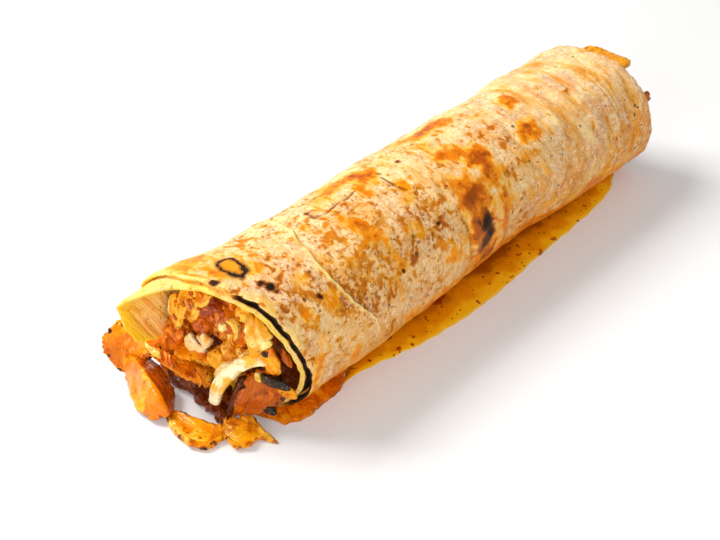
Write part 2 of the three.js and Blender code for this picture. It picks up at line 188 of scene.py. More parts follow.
def paint(ob, name, rgba):
    """Stores four numbers per vertex for the material to read."""
    a = ob.data.color_attributes.new(name, "FLOAT_COLOR", "POINT")
    a.data.foreach_set("color", np.asarray(rgba, np.float32).ravel())


def set_uv(ob, uv, name="UVMap"):
    me = ob.data
    layer = me.uv_layers.new(name=name)
    idx = np.empty(len(me.loops), np.int32)
    me.loops.foreach_get("vertex_index", idx)
    layer.data.foreach_set("uv", np.asarray(uv, np.float32)[idx].ravel())


def grid_faces(nu, nv, base, flip=False):
    i, j = np.meshgrid(np.arange(nu - 1), np.arange(nv - 1), indexing="ij")
    a = base + i * nv + j
    q = np.stack([a, a + nv, a + nv + 1, a + 1], -1).reshape(-1, 4)
    return q[:, ::-1] if flip else q


def closed_sheet(front, back):
    """Vertices and quads of a closed slab from two (nu, nv, 3) grids. front faces along du x dv."""
    nu, nv = front.shape[:2]
    verts = np.concatenate([front.reshape(-1, 3), back.reshape(-1, 3)])
    b = nu * nv
    faces = [grid_faces(nu, nv, 0), grid_faces(nu, nv, b, True)]
    i = np.arange(nu - 1)
    for j, flip in ((0, False), (nv - 1, True)):
        a = i * nv + j
        q = np.stack([a, a + b, a + nv + b, a + nv], -1)
        faces.append(q[:, ::-1] if flip else q)
    j = np.arange(nv - 1)
    for i0, flip in ((0, True), (nu - 1, False)):
        a = i0 * nv + j
        q = np.stack([a, a + b, a + 1 + b, a + 1], -1)
        faces.append(q[:, ::-1] if flip else q)
    return verts, faces


def normals_of(p):
    du = np.gradient(p, axis=0)
    dv = np.gradient(p, axis=1)
    n = np.cross(du, dv)
    return n / (np.linalg.norm(n, axis=-1, keepdims=True) + 1e-9)


def seg_dist(a, b, p):
    """Distance from points p (..., 2) to the segment a-b, and the place along it."""
    a, b = np.array(a, float), np.array(b, float)
    d = b - a
    t = np.clip(((p - a) @ d) / (d @ d), 0, 1)
    return np.linalg.norm(p - a - t[..., None] * d, axis=-1), t


def path_dist(points, p):
    best = np.full(p.shape[:-1], 1e9)
    for a, b in zip(points[:-1], points[1:]):
        best = np.minimum(best, seg_dist(a, b, p)[0])
    return best


# ---------------------------------------------------------------------------
# Flatbread: one spiral sheet, with folds, creases, stains and burns
# ---------------------------------------------------------------------------
ARC = HALF_WIDTH * math.pi / 180          # millimetres of bread per degree of turn

# Soaked orange stains: angle, x, half-size round the roll, half-size along it, strength
STAINS = [
    (96, -106, 11, 7, 0.75), (118, -112, 14, 8, 0.7), (84, -100, 7, 4, 0.5), (38, -97, 11, 3.5, 0.62), (36, -85, 11, 3.2, 0.72), (58, -92, 8, 3, 0.45),
    (90, -73, 5, 2.4, 0.62), (80, -72, 5, 2, 0.45), (45, -70, 16, 5, 0.36), (100, -57, 12, 6.5, 0.42), (70, -60, 16, 4.5, 0.52), (60, -56, 11, 4.5, 0.5),
    (114, -46, 11, 8, 0.8), (102, -37, 13, 6, 0.95), (88, -43, 8, 3, 0.75), (76, -30, 8, 3.4, 0.78), (66, -33, 6, 4, 0.6), (36, -53, 14, 3.2, 0.66), (28, -51, 9, 2.6, 0.5),
    (44, -40, 9, 6, 0.42), (10, -27, 10, 5, 0.66), (22, -30, 6, 3, 0.45), (60, -12, 9, 6, 0.5), (50, -9, 9, 7, 0.72),
    (30, -8, 17, 9, 0.98), (10, -8, 14, 9, 0.95), (-12, -6, 12, 8, 0.95), (84, -7, 8, 5, 0.5), (76, 1, 12, 6, 0.72), (66, 4, 12, 7, 0.92), (46, 5, 14, 7, 0.95), (26, 6, 12, 8, 0.85), (8, 5, 14, 5, 0.62),
    (112, 2, 9, 8, 0.9), (112, 13, 8, 7, 0.85), (100, -6, 8, 5, 0.7), (120, -5, 9, 6, 0.5), (92, 44, 8, 5, 0.82), (84, 39, 5, 3, 0.55), (60, 34, 9, 6, 0.9), (66, 40, 7, 3, 0.6), (54, 38, 6, 5, 0.7), (96, 24, 4, 3, 0.5),
    (62, 66, 7, 3.2, 0.72), (60, 58, 5, 2.4, 0.45), (46, 24, 9, 3, 0.42), (20, 33, 14, 2.6, 0.36), (48, 87, 6, 2.6, 0.45), (34, 91, 6, 2, 0.4), (70, 92, 10, 3, 0.36), (-8, -97, 12, 2.2, 0.6), (-14, -78, 9, 3, 0.42),
    (14, -94, 8, 2, 0.42), (-16, 40, 8, 16, 0.42), (-18, 75, 9, 16, 0.42), (-20, -50, 7, 14, 0.4),
    (150, -60, 12, 9, 0.6), (165, -20, 14, 12, 0.75), (150, 30, 12, 10, 0.55), (185, 10, 12, 14, 0.7), (175, 60, 14, 9, 0.65), (200, -70, 12, 11, 0.6), (210, 35, 10, 12, 0.6), (160, 85, 11, 6, 0.5), (205, 88, 9, 8, 0.55), (190, -100, 10, 7, 0.6),
]
# Burnt places: angle, x, half-size round the roll, half-size along it, strength
BURNS = [
    (18, -6.0, 9, 3.0, 1.0), (8, -4.6, 9, 3.0, 1.0), (0, -6.5, 9, 3.8, 0.72), (6, -8.5, 16, 5.5, 0.4), (20, -9.5, 5, 2.0, 0.62), (-6, -9, 5, 3, 0.55),
    (71, -103.4, 2.4, 1.6, 1.0), (66, -101.6, 3.4, 1.7, 1.0), (61, -100.6, 1.8, 1.2, 0.8), (90, -114.6, 2.6, 1.2, 0.95), (88, -113.6, 1.4, 1.0, 0.6),
    (44, -88.9, 1.6, 0.9, 1.0), (42, -88.2, 1.2, 0.8, 0.9), (24, -51.6, 1.8, 0.6, 1.1), (14, -48.9, 1.9, 0.6, 1.2), (39, -28.6, 1.4, 0.9, 1.1), (42.5, -26.2, 1.0, 0.7, 1.0), (41, -26, 0.8, 0.6, 0.9),
    (97, -20.6, 2.4, 1.1, 0.72), (100, -66.6, 2.2, 1.1, 0.62), (85, -59.6, 1.6, 1.0, 0.6), (80, 31, 0.01, 0.01, 0), (13, -44.2, 0.8, 0.5, 0.9), (58.6, -15.6, 0.9, 0.6, 0.8), (10, 58, 2.2, 0.9, 0.42), (9, 81, 1.6, 0.9, 0.4),
    (150, -84, 3, 1.8, 0.9), (172, -40, 4, 2.6, 1.0), (180, 42, 5, 3.0, 1.0), (205, -15, 3.5, 2.4, 0.9), (158, 68, 2.4, 1.4, 0.8), (215, 62, 4, 2, 0.8),
]
# Ring-shaped burns left by bubbles in the dough: angle, x, half-sizes
RINGS = [(93.5, -105.2, 9.6, 3.3)]
# Toasted, speckled areas: angle, x, half-sizes, density
TOASTED = [
    (60, -64, 34, 14, 0.6), (40, -95, 26, 10, 0.5), (34, -72, 26, 14, 0.5), (50, -30, 26, 14, 0.5), (20, -40, 22, 14, 0.3), (45, 20, 24, 16, 0.3), (40, 60, 30, 22, 0.1), (80, -96, 10, 8, 0.2), (110, -92, 16, 10, 0.4),
    (70, 60, 18, 14, 0.05), (160, -40, 40, 40, 0.5), (190, 50, 40, 40, 0.5), (170, -90, 30, 20, 0.4),
]
# The fold across the roll near the mouth: angle and x along its edge
FOLD = [(-14, -66), (3, -69), (10, -71), (20, -74.5), (30, -77.5), (40, -79.2), (50, -81), (60, -81.6), (80, -80), (96, -77), (118, -75.4), (139, -75), (170, -77), (215, -80)]
FOLD_FAR = [(-16, 89), (5, 86), (25, 84.2), (45, 82.4), (70, 82), (110, 84), (150, 83), (200, 86)]
# Open cracks: lists of (angle, x)
CRACKS = [[(97, -66.6), (92, -67.2), (90.6, -62), (92.4, -55), (92.2, -50), (95, -45)], [(100, -31), (92, -32.6), (80, -32.4), (72, -30.6)]]
# Shallow creases: lists of (angle, x), width, depth
CREASES = [
    ([(46, -64), (30, -62), (15, -61.4), (2, -61.6), (-20, -58)], 1.0, 0.45), ([(40, -16.4), (22, -15.6), (6, -15.8), (-12, -13.4)], 1.1, 0.7),
    ([(40, 15), (24, 17), (8, 22)], 1.3, 0.4), ([(36, 28), (18, 33), (2, 42), (-14, 46)], 1.4, 0.45), ([(62, 46), (40, 52), (16, 58)], 1.3, 0.35), ([(78, 58), (50, 62), (20, 70), (-5, 76)], 1.4, 0.35),
    ([(30, -3), (6, -2.6), (-14, 1)], 1.0, 0.35), ([(58, 20), (40, 24), (30, 31)], 1.1, 0.35), ([(20, 92), (0, 95), (-20, 99)], 1.2, 0.35), ([(66, -18), (50, -19)], 1.2, 0.5),
    ([(150, -50), (180, -46), (215, -50)], 1.5, 0.5), ([(150, 10), (185, 16), (220, 12)], 1.5, 0.45), ([(160, 52), (190, 48), (220, 55)], 1.5, 0.5), ([(36, -54), (24, -52.4), (12, -53)], 0.8, 0.3),
]


def fold_line(rows, theta):
    lo, hi = rows[0][0], rows[-1][0]
    t = (theta + 90) % 360 - 90
    return table(rows, t), smooth(lo - 4, lo + 16, t) * (1 - smooth(hi - 16, hi + 4, t))


def build_bread():
    tail = np.linspace(-1, 0, 16)[:-1]
    k = 1.0
    runs = np.concatenate([tail, np.arange(0, 148, 3.4 * k), np.arange(148, 296, 1.45 * k), np.arange(296, 364, 3.3 * k), np.arange(366, TURN_END + 0.1, 6.2 * k), [TURN_END]])
    runs = np.unique(np.round(runs, 4))
    nr = len(runs)
    near_steps = np.concatenate([[0, 0.012, 0.035, 0.07], np.linspace(0.11, 1, 20)])[:-1]
    body = np.concatenate([np.arange(-92, -83, 1.2 * k), np.arange(-83, -65, 0.6 * k), np.arange(-65, 81, 1.2 * k), np.arange(81, 88, 0.7 * k), np.arange(88, 97.5, 1.2 * k)])
    far_steps = np.concatenate([np.linspace(0, 0.93, 6), [0.975, 1]])[1:]
    R = runs[:, None]
    theta = 270 - R
    rim = fbm(np.stack([runs * ARC, 0 * runs, 0 * runs + 3], -1), 7, 3, 5)
    rim2 = fbm(np.stack([runs * ARC, 0 * runs, 0 * runs + 9], -1), 1.9, 2, 6)
    x0 = np.where(runs <= 0, -111 + 4 * smooth(0.3, 1, -runs), np.where(runs <= 352, table(MOUTH_OUTER, 270 - runs), np.where(runs < 368, -110.3, table(MOUTH_INNER, 630 - runs))))
    x0 = x0 + 0.45 * rim + 0.18 * rim2
    far_theta = np.where(runs <= 360, 270 - np.maximum(runs, 0), 630 - runs)
    x1 = np.where(runs <= 0, 108, table(FAR_EDGE, far_theta) - (runs > 360)) + 0.6 * rim - 0.25 * rim2
    X = np.concatenate([x0[:, None] + (body[0] - x0[:, None]) * near_steps[None], np.repeat(body[None], nr, 0), body[-1] + (x1[:, None] - body[-1]) * far_steps[None]], 1)
    nx = X.shape[1]
    T = np.broadcast_to(theta, X.shape)
    RR = np.broadcast_to(R, X.shape)
    on_tail = RR <= 0
    depth = np.where(on_tail, BREAD / 2, BREAD / 2 + PITCH * RR / 360)
    y, z = section(T, depth, X)
    torn = fbm(np.stack([X, 0 * X + 2, 0 * X], -1), 5, 3, 41) * 0.8 + fbm(np.stack([X, 0 * X + 6, 0 * X], -1), 1.6, 2, 42) * 0.35
    y = np.where(on_tail, (tail_at(X) - 0.9 + torn * smooth(-0.2, -1, RR)) * RR, y)
    z = np.where(on_tail, BREAD / 2, z)
    mid = np.stack([X, y, z], -1)
    # outward direction across the sheet
    dy = np.gradient(y, axis=0)
    dz = np.gradient(z, axis=0)
    ln = np.hypot(dy, dz) + 1e-9
    ny, nz = dz / ln, -dy / ln
    ny = np.where(on_tail, 0, ny)
    nz = np.where(on_tail, -1, nz)
    n = np.stack([np.zeros_like(ny), ny, nz], -1)
    free = np.where(on_tail, 0.0, smooth(-0.99, -0.75, np.sin(np.radians(T))))
    outer_turn = RR <= 352
    arc = RR * ARC
    q = np.stack([X, arc, np.zeros_like(X)], -1)
    # relief
    h = 0.34 * fbm(q, 17, 3, 1) + 0.17 * fbm(q, 6, 3, 2) + 0.07 * fbm(q, 2.6, 2, 3)
    blister = np.clip(fbm(q + 50, 9, 2, 4) - 0.28, 0, 1)
    h = h + 0.42 * blister
    angle = (T + 90) % 360 - 90
    pq = np.stack([angle * ARC, X], -1)
    fx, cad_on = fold_line(FOLD, T)
    wob = 0.35 * fbm(q, 8, 2, 11)
    d = X - fx - wob
    fold_h = np.where(d < 0, 0.75 * np.exp(d / 5.5) + 0.34 * bell((d + 0.8) / 0.7), 0) * (d < 0.0) + np.where(d >= 0, -0.25 * bell((d - 0.7) / 1.2), 0)
    h = h + fold_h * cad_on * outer_turn
    fx2, on2 = fold_line(FOLD_FAR, T)
    d2 = X - fx2 - wob
    h = h + np.where(d2 < 0, 0.5 * np.exp(d2 / 4), -0.15 * bell((d2 - 0.6) / 1.0)) * on2 * outer_turn
    cracks_and_shade = np.zeros_like(X)
    pq_a = np.stack([X, arc, 0 * X], -1)
    for line in CRACKS:
        dist = path_dist([(a * ARC, xx) for a, xx in line], pq + 0.5 * np.stack([wob, -wob], -1))
        cracks_and_shade = np.maximum(cracks_and_shade, bell(dist / (0.62 + 0.25 * fbm(pq_a, 3.0, 2, 77))))
        h = h - 0.5 * bell(dist / 0.7) + 0.25 * bell((dist - 1.5) / 0.9)
    # painted shade along the creases
    crease_shade = np.zeros_like(X)
    for line, width, deep in CREASES:
        dist = path_dist([(a * ARC, xx) for a, xx in line], pq + 1.1 * np.stack([wob, wob], -1))
        h = h - deep * bell(dist / width) + 0.5 * deep * bell((dist - 2.1 * width) / width)
        crease_shade = np.maximum(crease_shade, deep * bell(dist / (0.7 * width)))
    # long soft wrinkles round the far part
    w1 = fbm(np.stack([X * 1.0, arc * 0.28, 0 * X + 7], -1), 5.5, 3, 21)
    far_fold = np.abs(fbm(np.stack([X * 1.0, arc * 0.2, 0 * X + 12], -1), 9, 2, 22))
    h = h + 0.42 * w1 * smooth(0, 45, X) + 0.16 * w1 - 0.35 * bell(far_fold / 0.09) * smooth(5, 40, X)
    h = h * np.where(outer_turn, 1.0, 0.45) * free
    # thickness, thinner at the ends
    edge0 = X - x0[:, None]
    edge1 = x1[:, None] - X
    edge_t = np.where(on_tail, (RR + 1) * tail_at(X), 99)
    edge_i = (TURN_END - RR) * ARC
    e = np.minimum(np.minimum(edge0, edge1), np.minimum(edge_t, edge_i))
    th = BREAD / 2 * (0.5 + 0.5 * smooth(0, 1.6, e)) * (1 + 0.12 * fbm(q, 5, 2, 8))
    gap_in = np.where(outer_turn, 0.0, 0.5) * (1 - smooth(0, 9, edge0)) * smooth(-60, -30, (T + 450) % 360 - 90)
    outer = mid + n * (th + h - gap_in)[..., None]
    inner = mid - n * (th - h * 0.8 + gap_in)[..., None]
    # keep the sheet at least 0.2 mm above the floor, except on the tail and along the very bottom, and never below it
    for g in (outer, inner):
        g[..., 2] = np.maximum(g[..., 2], np.where(on_tail | (np.sin(np.radians(T)) < -0.9), g[..., 2], 0.2))
        g[..., 2] = np.maximum(g[..., 2], 0.0)
    verts, faces = closed_sheet(outer, inner)
    ob = make_object("flatbread_roll", verts, faces)
    # ---- masks
    warp = fbm(q, 7, 4, 31)
    warp_fine = fbm(q, 2.6, 3, 32)
    streak = 0.7 * fbm(np.stack([X, arc * 0.3, 0 * X + 4], -1), 3.2, 3, 33) - (0.3 + 0.5 * smooth(0, 45, X)) * w1 + 0.5 * bell(far_fold / 0.12) * smooth(5, 40, X)
    stain = np.zeros_like(X)
    for c, xc, ha, hx, s in STAINS:
        m = np.sqrt((turn_to(T, c) / (ha * 1.2)) ** 2 + ((X - xc) / (hx * 1.2)) ** 2)
        v = s * (1 - smooth(0.1, 1.3, m + 0.3 * warp + 0.2 * warp_fine + 0.28 * streak))
        stain = stain + v * (1 - stain * 0.6)
    char = np.zeros_like(X)
    for c, xc, ha, hx, s in BURNS:
        if s <= 0:
            continue
        m = np.sqrt((turn_to(T, c) / ha) ** 2 + ((X - xc) / hx) ** 2)
        char = np.maximum(char, s * (1 - smooth(0.1, 1.7, m + 0.3 * warp_fine)))
    toast = 0.12 - 0.3 * smooth(15, 45, X)
    for c, xc, ha, hx, s in TOASTED:
        toast = toast + s * bell(turn_to(T, c) / ha) * bell((X - xc) / hx)
    toast = toast + 0.3 * np.clip(warp, 0, 1)
    ring = np.full_like(X, 4.0)
    for c, xc, ha, hx in RINGS:
        ring = np.minimum(ring, np.sqrt((turn_to(T, c) / ha) ** 2 + ((X - xc) / hx) ** 2))
    keep = outer_turn & ~on_tail
    inner_turn = RR > 352
    sn = np.sin(np.radians(T))
    stain_o, char_o, toast_o, ring_o = stain * keep, char * keep, toast * keep, np.where(keep, ring, 4.0)
    soak = np.where(on_tail, 0.8 + 0.15 * warp, 0.75 * smooth(-0.22, -0.62, sn + 0.12 * warp) * outer_turn)
    place = (T + 450) % 360 - 90
    right = smooth(-62, -40, place) * (1 - smooth(70, 80, place))
    # the outer layer's burnt cut edge, and what shows of the inner layer behind its lip
    edge_burn = np.where(keep, right * (1 - smooth(0.0, 0.3, edge0 + 0.2 * warp_fine)), 0)
    lip_burn = np.where(inner_turn, right * smooth(1.3, 1.9, edge0 + 0.25 * warp_fine) * (1 - smooth(5.6, 7.4, edge0)), 0)
    char_o = np.maximum(char_o, 1.15 * np.maximum(edge_burn, lip_burn))
    outline = np.where(keep, smooth(78, 92, place) * (1 - smooth(205, 225, place)) * bell((edge0 - 1.7 - 0.5 * warp_fine) / 0.8) * (0.5 + 0.4 * warp), 0)
    stain_o = np.maximum(stain_o, 1.15 * np.clip(outline, 0, 1))
    rim_near = 1 - smooth(0, 6, edge0 + 1.5 * warp)
    warm = np.where(inner_turn, 0.75 + 0.2 * warp, 0.45 * rim_near) + 0.5 * bell(turn_to(T, 140) / 34) * (1 - smooth(-120, -88, X)) * keep
    band = fbm(np.stack([X * 1.0, arc * 0.22, 0 * X + 15], -1), 8, 3, 35)
    # browner low on the sides: partly soaked oil, partly painted shade and warm bounce light
    tan_and_low_shade = np.where(on_tail, 0.6, np.clip(0.5 - 0.62 * sn + 0.16 * warp + 0.9 * smooth(10, 50, X) * np.clip(band, 0, 1), 0, 1))
    # painted highlight: a pale cream line along the top edge of the fold
    fold_highlight_and_lip = np.clip(1.1 * bell((d + 0.75) / 0.62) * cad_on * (0.75 + 0.4 * warp), 0, 1) * keep
    # painted shade: a thin brown line at the foot of the fold
    shade = np.clip(bell((d - 0.25) / 0.4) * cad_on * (0.7 + 0.5 * warp), 0, 1) * keep
    a_outer = np.stack([np.clip(stain_o + soak, 0, 1.2), np.clip(char_o, 0, 1.2), np.clip(toast_o + 0.3, 0, 1), np.clip(0.8 * stain_o + soak, 0, 1)], -1)
    b_outer = np.stack([(ring_o + 0.16 * warp_fine * (ring_o < 3)) / 4, np.clip(warm, 0, 1), np.clip(np.maximum(np.maximum(cracks_and_shade * keep, 0.9 * crease_shade * keep), 0.8 * shade), 0, 1), np.where(inner_turn & (edge0 > 0.8), 0.5, 0.0)], -1)
    c_outer = np.stack([tan_and_low_shade, fold_highlight_and_lip, np.clip(0.5 + 0.5 * streak, 0, 1), np.ones_like(X)], -1)
    under_burn = np.where(keep, right * (1 - smooth(3, 5, edge0)), 0)
    a_inner = np.stack([np.clip(0.0 + 0.06 * warp + 0.9 * np.where(on_tail, 1, 0), 0, 1), np.clip(1.15 * under_burn, 0, 1.2), np.full_like(X, 0.3), np.full_like(X, 0.5)], -1)
    b_inner = np.stack([np.ones_like(X), np.clip(0.85 + 0.2 * warp, 0, 1), np.zeros_like(X), np.ones_like(X)], -1)
    c_inner = np.stack([np.full_like(X, 0.3), np.clip((1 - smooth(1, 8, edge0 + 2 * warp)) * 0.85, 0, 1), np.clip(0.5 + 0.5 * streak, 0, 1), np.ones_like(X)], -1)
    paint(ob, "marks", np.concatenate([a_outer.reshape(-1, 4), a_inner.reshape(-1, 4)]))
    paint(ob, "areas", np.concatenate([b_outer.reshape(-1, 4), b_inner.reshape(-1, 4)]))
    paint(ob, "tones", np.concatenate([c_outer.reshape(-1, 4), c_inner.reshape(-1, 4)]))
    u = (arc + 30) / 420
    v = (X + 140) / 260
    uv1 = np.stack([u, v * 0.6], -1).reshape(-1, 2)
    set_uv(ob, np.concatenate([uv1 * [1, 0.49 / 0.6] , uv1 * [1, 0.49 / 0.6] + [0, 0.5]]))
    return ob


# ---------------------------------------------------------------------------
# Meat
# ---------------------------------------------------------------------------
def catmull(points, u):
    """Centripetal-like Catmull-Rom through the points at u from 0 to 1."""
    p = np.asarray(points, float)
    if len(p) == 2:
        return p[0] + (p[1] - p[0]) * u[:, None]
    n = len(p) - 1
    d = np.linalg.norm(np.diff(p, axis=0), axis=1) ** 0.5
    knots = np.concatenate([[0], np.cumsum(np.maximum(d, 1e-3))])
    t = u * n
    i = np.clip(np.floor(t).astype(int), 0, n - 1)
    f = (t - i)[:, None]
    m = np.zeros_like(p)
    m[1:-1] = (p[2:] - p[:-2]) / (knots[2:] - knots[:-2])[:, None]
    m[0] = (p[1] - p[0]) / (knots[1] - knots[0])
    m[-1] = (p[-1] - p[-2]) / (knots[-1] - knots[-2])
    h = (knots[1:] - knots[:-1])[i][:, None]
    p0, p1, m0, m1 = p[i], p[i + 1], m[i] * h, m[i + 1] * h
    f2, f3 = f * f, f * f * f
    return (2 * f3 - 3 * f2 + 1) * p0 + (f3 - 2 * f2 + f) * m0 + (-2 * f3 + 3 * f2) * p1 + (f3 - f2) * m1


def slice_part(stations, thick, bulge=0.0, seed=1, res=0.4, rough=0.22, fibre=0.14, jag=0.07, jag_size=2.2, curl=0.0, wave=0.0, rim_specks=0.5, crease=False, ribs=0.0, pebble=0.0, pale_rim=0.0, cover=0.0, deepen=0.0, round_ends=1.0, shade_right=0.0):
    """A thin piece of meat between two smooth edges, with torn sides, fibres and lumps."""
    left = np.array([st[0] for st in stations], float)
    right = np.array([st[-1] for st in stations], float)
    length = np.linalg.norm(np.diff((left + right) / 2, axis=0), axis=1).sum()
    width = np.linalg.norm(right - left, axis=1).max()
    res = res * 1.0
    nu, nv = max(16, int(length / res)), max(12, int(width / res))
    u = np.linspace(0, 1, nu)
    v = np.linspace(-1, 1, nv)
    L, Rr = catmull(left, u), catmull(right, u)
    W = ((v + 1) / 2)[None, :, None]
    M = catmull([st[1] for st in stations], u) if len(stations[0]) == 3 else (L + Rr) / 2
    rng = seed * 13.7
    s_arc = u * length
    V = v * width / 2

    def ragged(side, k):
        q = np.stack([s_arc, np.full(nu, side * 9.0 + rng), np.full(nu, k * 1.0)], -1)
        return 1 + jag * fbm(q, jag_size, 3, seed + 3) + jag * 0.5 * fbm(q, jag_size * 0.35, 2, seed + 4)
    rl, rr = ragged(-1, 0)[:, None, None], ragged(1, 5)[:, None, None]
    if crease:
        k = 0.16
        t = v[None, :, None]
        roof = np.sqrt(t * t + k * k) - k
        roof = roof / (math.sqrt(1 + k * k) - k)
        p = np.where(t < 0, M[:, None] + (L - M)[:, None] * roof, M[:, None] + (Rr - M)[:, None] * roof)
    else:
        p = (2 * (W - 0.5) * (W - 1)) * L[:, None] + (-4 * W * (W - 1)) * M[:, None] + (2 * W * (W - 0.5)) * Rr[:, None]
    p = M[:, None] + (p - M[:, None]) * np.where(v[None, :, None] < 0, rl, rr)
    du = np.gradient(p, axis=0)
    du /= np.linalg.norm(du, axis=-1, keepdims=True) + 1e-9
    endp = np.stack([V, np.full(nv, rng + 40), np.zeros(nv)], -1)
    e0 = fbm(endp, jag_size, 3, seed + 7) * jag * 7
    e1 = fbm(endp + 30, jag_size, 3, seed + 8) * jag * 7
    arch = round_ends * 0.16 * width * (1 - np.sqrt(np.clip(1 - 0.85 * v ** 2, 0, 1)))
    f0 = (1 - smooth(0, 0.25, u))[:, None]
    f1 = smooth(0.75, 1, u)[:, None]
    p = p + du * ((arch + e0)[None] * f0 - (arch + e1)[None] * f1)[..., None]
    n = normals_of(p)
    p = p + n * (bulge * (1 - v[None] ** 2))[..., None]
    s2 = np.broadcast_to(s_arc[:, None], (nu, nv))
    v2 = np.broadcast_to(V[None], (nu, nv))
    q = np.stack([s2, v2, np.full((nu, nv), rng)], -1)
    if wave:
        p = p + n * (wave * np.sin(s2 / 2.3 + 1.5 * fbm(q, 7, 2, seed)) * (0.3 + 0.7 * np.abs(v2) / (width / 2)))[..., None]
    if curl:
        p = p + n * (curl * np.abs(v[None]) ** 3 * (0.6 + 0.7 * fbm(q, 6, 2, seed + 9)))[..., None]
    n = normals_of(p)
    q3 = p + rng
    big = fbm(q3, 5.0, 3, seed + 11)
    mid_ = fbm(q3, 1.7, 3, seed + 12)
    fib = fbm(np.stack([s2 * 0.13, v2 + 0.5 * fbm(q, 5, 2, seed + 20), np.full_like(s2, rng)], -1), 0.7, 3, seed + 13)
    pits = np.clip(fbm(q3, 1.1, 2, seed + 14) - 0.42, 0, 1)
    relief = rough * (1.0 * big + 0.5 * mid_) + fibre * fib - 0.5 * pits * (rough + 0.1)
    if ribs:
        relief = relief + ribs * (np.abs(np.sin(s2 / 0.72 + 1.4 * fbm(q, 3, 2, seed + 21) + 0.25 * v2)) - 0.5) * (0.35 + 0.65 * smooth(-0.4, 0.6, np.abs(v)[None] * np.ones((nu, 1))))
    if pebble:
        c1, _ = cells(q3, 1.5, seed + 22)
        relief = relief + pebble * np.sqrt(np.clip(1 - (c1 / 0.8) ** 2, 0, 1))
    au, av = np.abs(2 * u - 1)[:, None], np.abs(v)[None]
    taper = (0.3 + 0.7 * np.sqrt(np.clip(1 - av ** 4, 0, 1))) * (0.4 + 0.6 * np.sqrt(np.clip(1 - au ** 6, 0, 1)))
    half = thick / 2 * taper * (1 + 0.2 * big)
    rim = np.maximum(au, av)
    ease = 1 - 0.6 * smooth(0.9, 1, rim)
    front = p + n * (half + relief * ease)[..., None]
    back = p - n * (np.maximum(half - 0.5 * relief, 0.2))[..., None]
    lift = np.maximum(0.05 - np.minimum(front[..., 2], back[..., 2]), 0)
    front[..., 2] += lift
    back[..., 2] += lift
    verts, faces = closed_sheet(front, back)
    spots = np.clip(fbm(q3, 1.5, 2, seed + 17) * 1.3 + 0.1, 0, 1)
    rimd = smooth(0.74, 1.0, rim + 0.12 * mid_)
    dark = np.clip(rim_specks * rimd * (0.35 + spots) + 0.35 * pits, 0, 1)
    cov = np.clip(0.5 + 0.5 * fbm(q3, 5.5, 3, seed + 15) + cover - pale_rim * rimd, 0, 1)
    # darker where the relief is low; shade_right adds painted shade towards the right side
    hollow_and_shade = np.clip(0.38 - 0.42 * (0.6 * big + 0.7 * mid_) + deepen + shade_right * smooth(0.02, 0.3, v)[None], 0, 1)
    at = np.stack([dark, cov, np.clip(0.5 + 0.5 * fib, 0, 1), hollow_and_shade], -1).reshape(-1, 4)
    uvb = np.stack([s2 / max(length, width) * 0.98, (v2 + width / 2) / max(length, width) * 0.49], -1).reshape(-1, 2)
    return dict(verts=verts, faces=faces, meat=np.concatenate([at, at]), uv=np.concatenate([uvb, uvb + [0, 0.5]]))


def icosphere(sub):
    import bmesh
    bm = bmesh.new()
    bmesh.ops.create_icosphere(bm, subdivisions=sub, radius=1)
    v = np.array([x.co[:] for x in bm.verts])
    f = np.array([[y.index for y in x.verts] for x in bm.faces])
    bm.free()
    return v, f


def turned(p, turn):
    p = p.copy()
    for ax, ang in enumerate(turn):
        c, sn = math.cos(math.radians(ang)), math.sin(math.radians(ang))
        i, j = [(1, 2), (2, 0), (0, 1)][ax]
        pi, pj = p[:, i] * c - p[:, j] * sn, p[:, i] * sn + p[:, j] * c
        p[:, i], p[:, j] = pi, pj
    return p


def lump_part(centre, radii, seed=1, turn=(0, 0, 0), rough=0.8, folds=0.8, sub=6, pebble=0.4, pebble_size=1.7, cover=0.0, deepen=0.0, fine=0.12):
    """A chunk with folds and saucy pebbles on its surface."""
    v, f = icosphere(sub)
    rng = seed * 9.1
    k = 1 + 0.14 * fbm(v * 1.0 + rng, 0.8, 2, seed)
    n = v / np.array(radii)
    n /= np.linalg.norm(n, axis=1, keepdims=True)
    p, n = turned(v * k[:, None] * np.array(radii), turn), turned(n, turn)
    q = p + rng * 3
    ridged = 1 - np.abs(fbm(q, 5.5, 3, seed + 2)) * 2
    big = fbm(q, 4.0, 3, seed + 3)
    mid_ = fbm(q, 1.5, 3, seed + 4)
    c1, w1 = cells(q, pebble_size, seed + 5)
    bumps = np.sqrt(np.clip(1 - (c1 / (0.62 + 0.3 * w1)) ** 2, 0, 1)) * (0.4 + 0.6 * w1)
    d = rough * (0.8 * big + 0.6 * folds * ridged) + fine * mid_ + pebble * bumps
    p = p + n * d[:, None] + np.array(centre)
    p[:, 2] = np.maximum(p[:, 2], 0.05)
    at = np.stack([np.clip(0.12 * (fbm(q, 1.4, 2, seed + 7) > 0.75), 0, 1), np.clip(0.5 + 0.5 * fbm(q, 5.5, 3, seed + 6) + cover, 0, 1), np.clip(0.5 + 0.5 * mid_, 0, 1), np.clip(0.42 - 0.45 * (0.8 * big + 0.4 * ridged) - 0.22 * bumps + deepen, 0, 1)], -1)
    uv = np.stack([np.arctan2(v[:, 1], v[:, 0]) / (2 * math.pi) + 0.5, np.arcsin(np.clip(v[:, 2], -1, 1)) / math.pi + 0.5], -1)
    return dict(verts=p, faces=[f], meat=at, uv=uv)


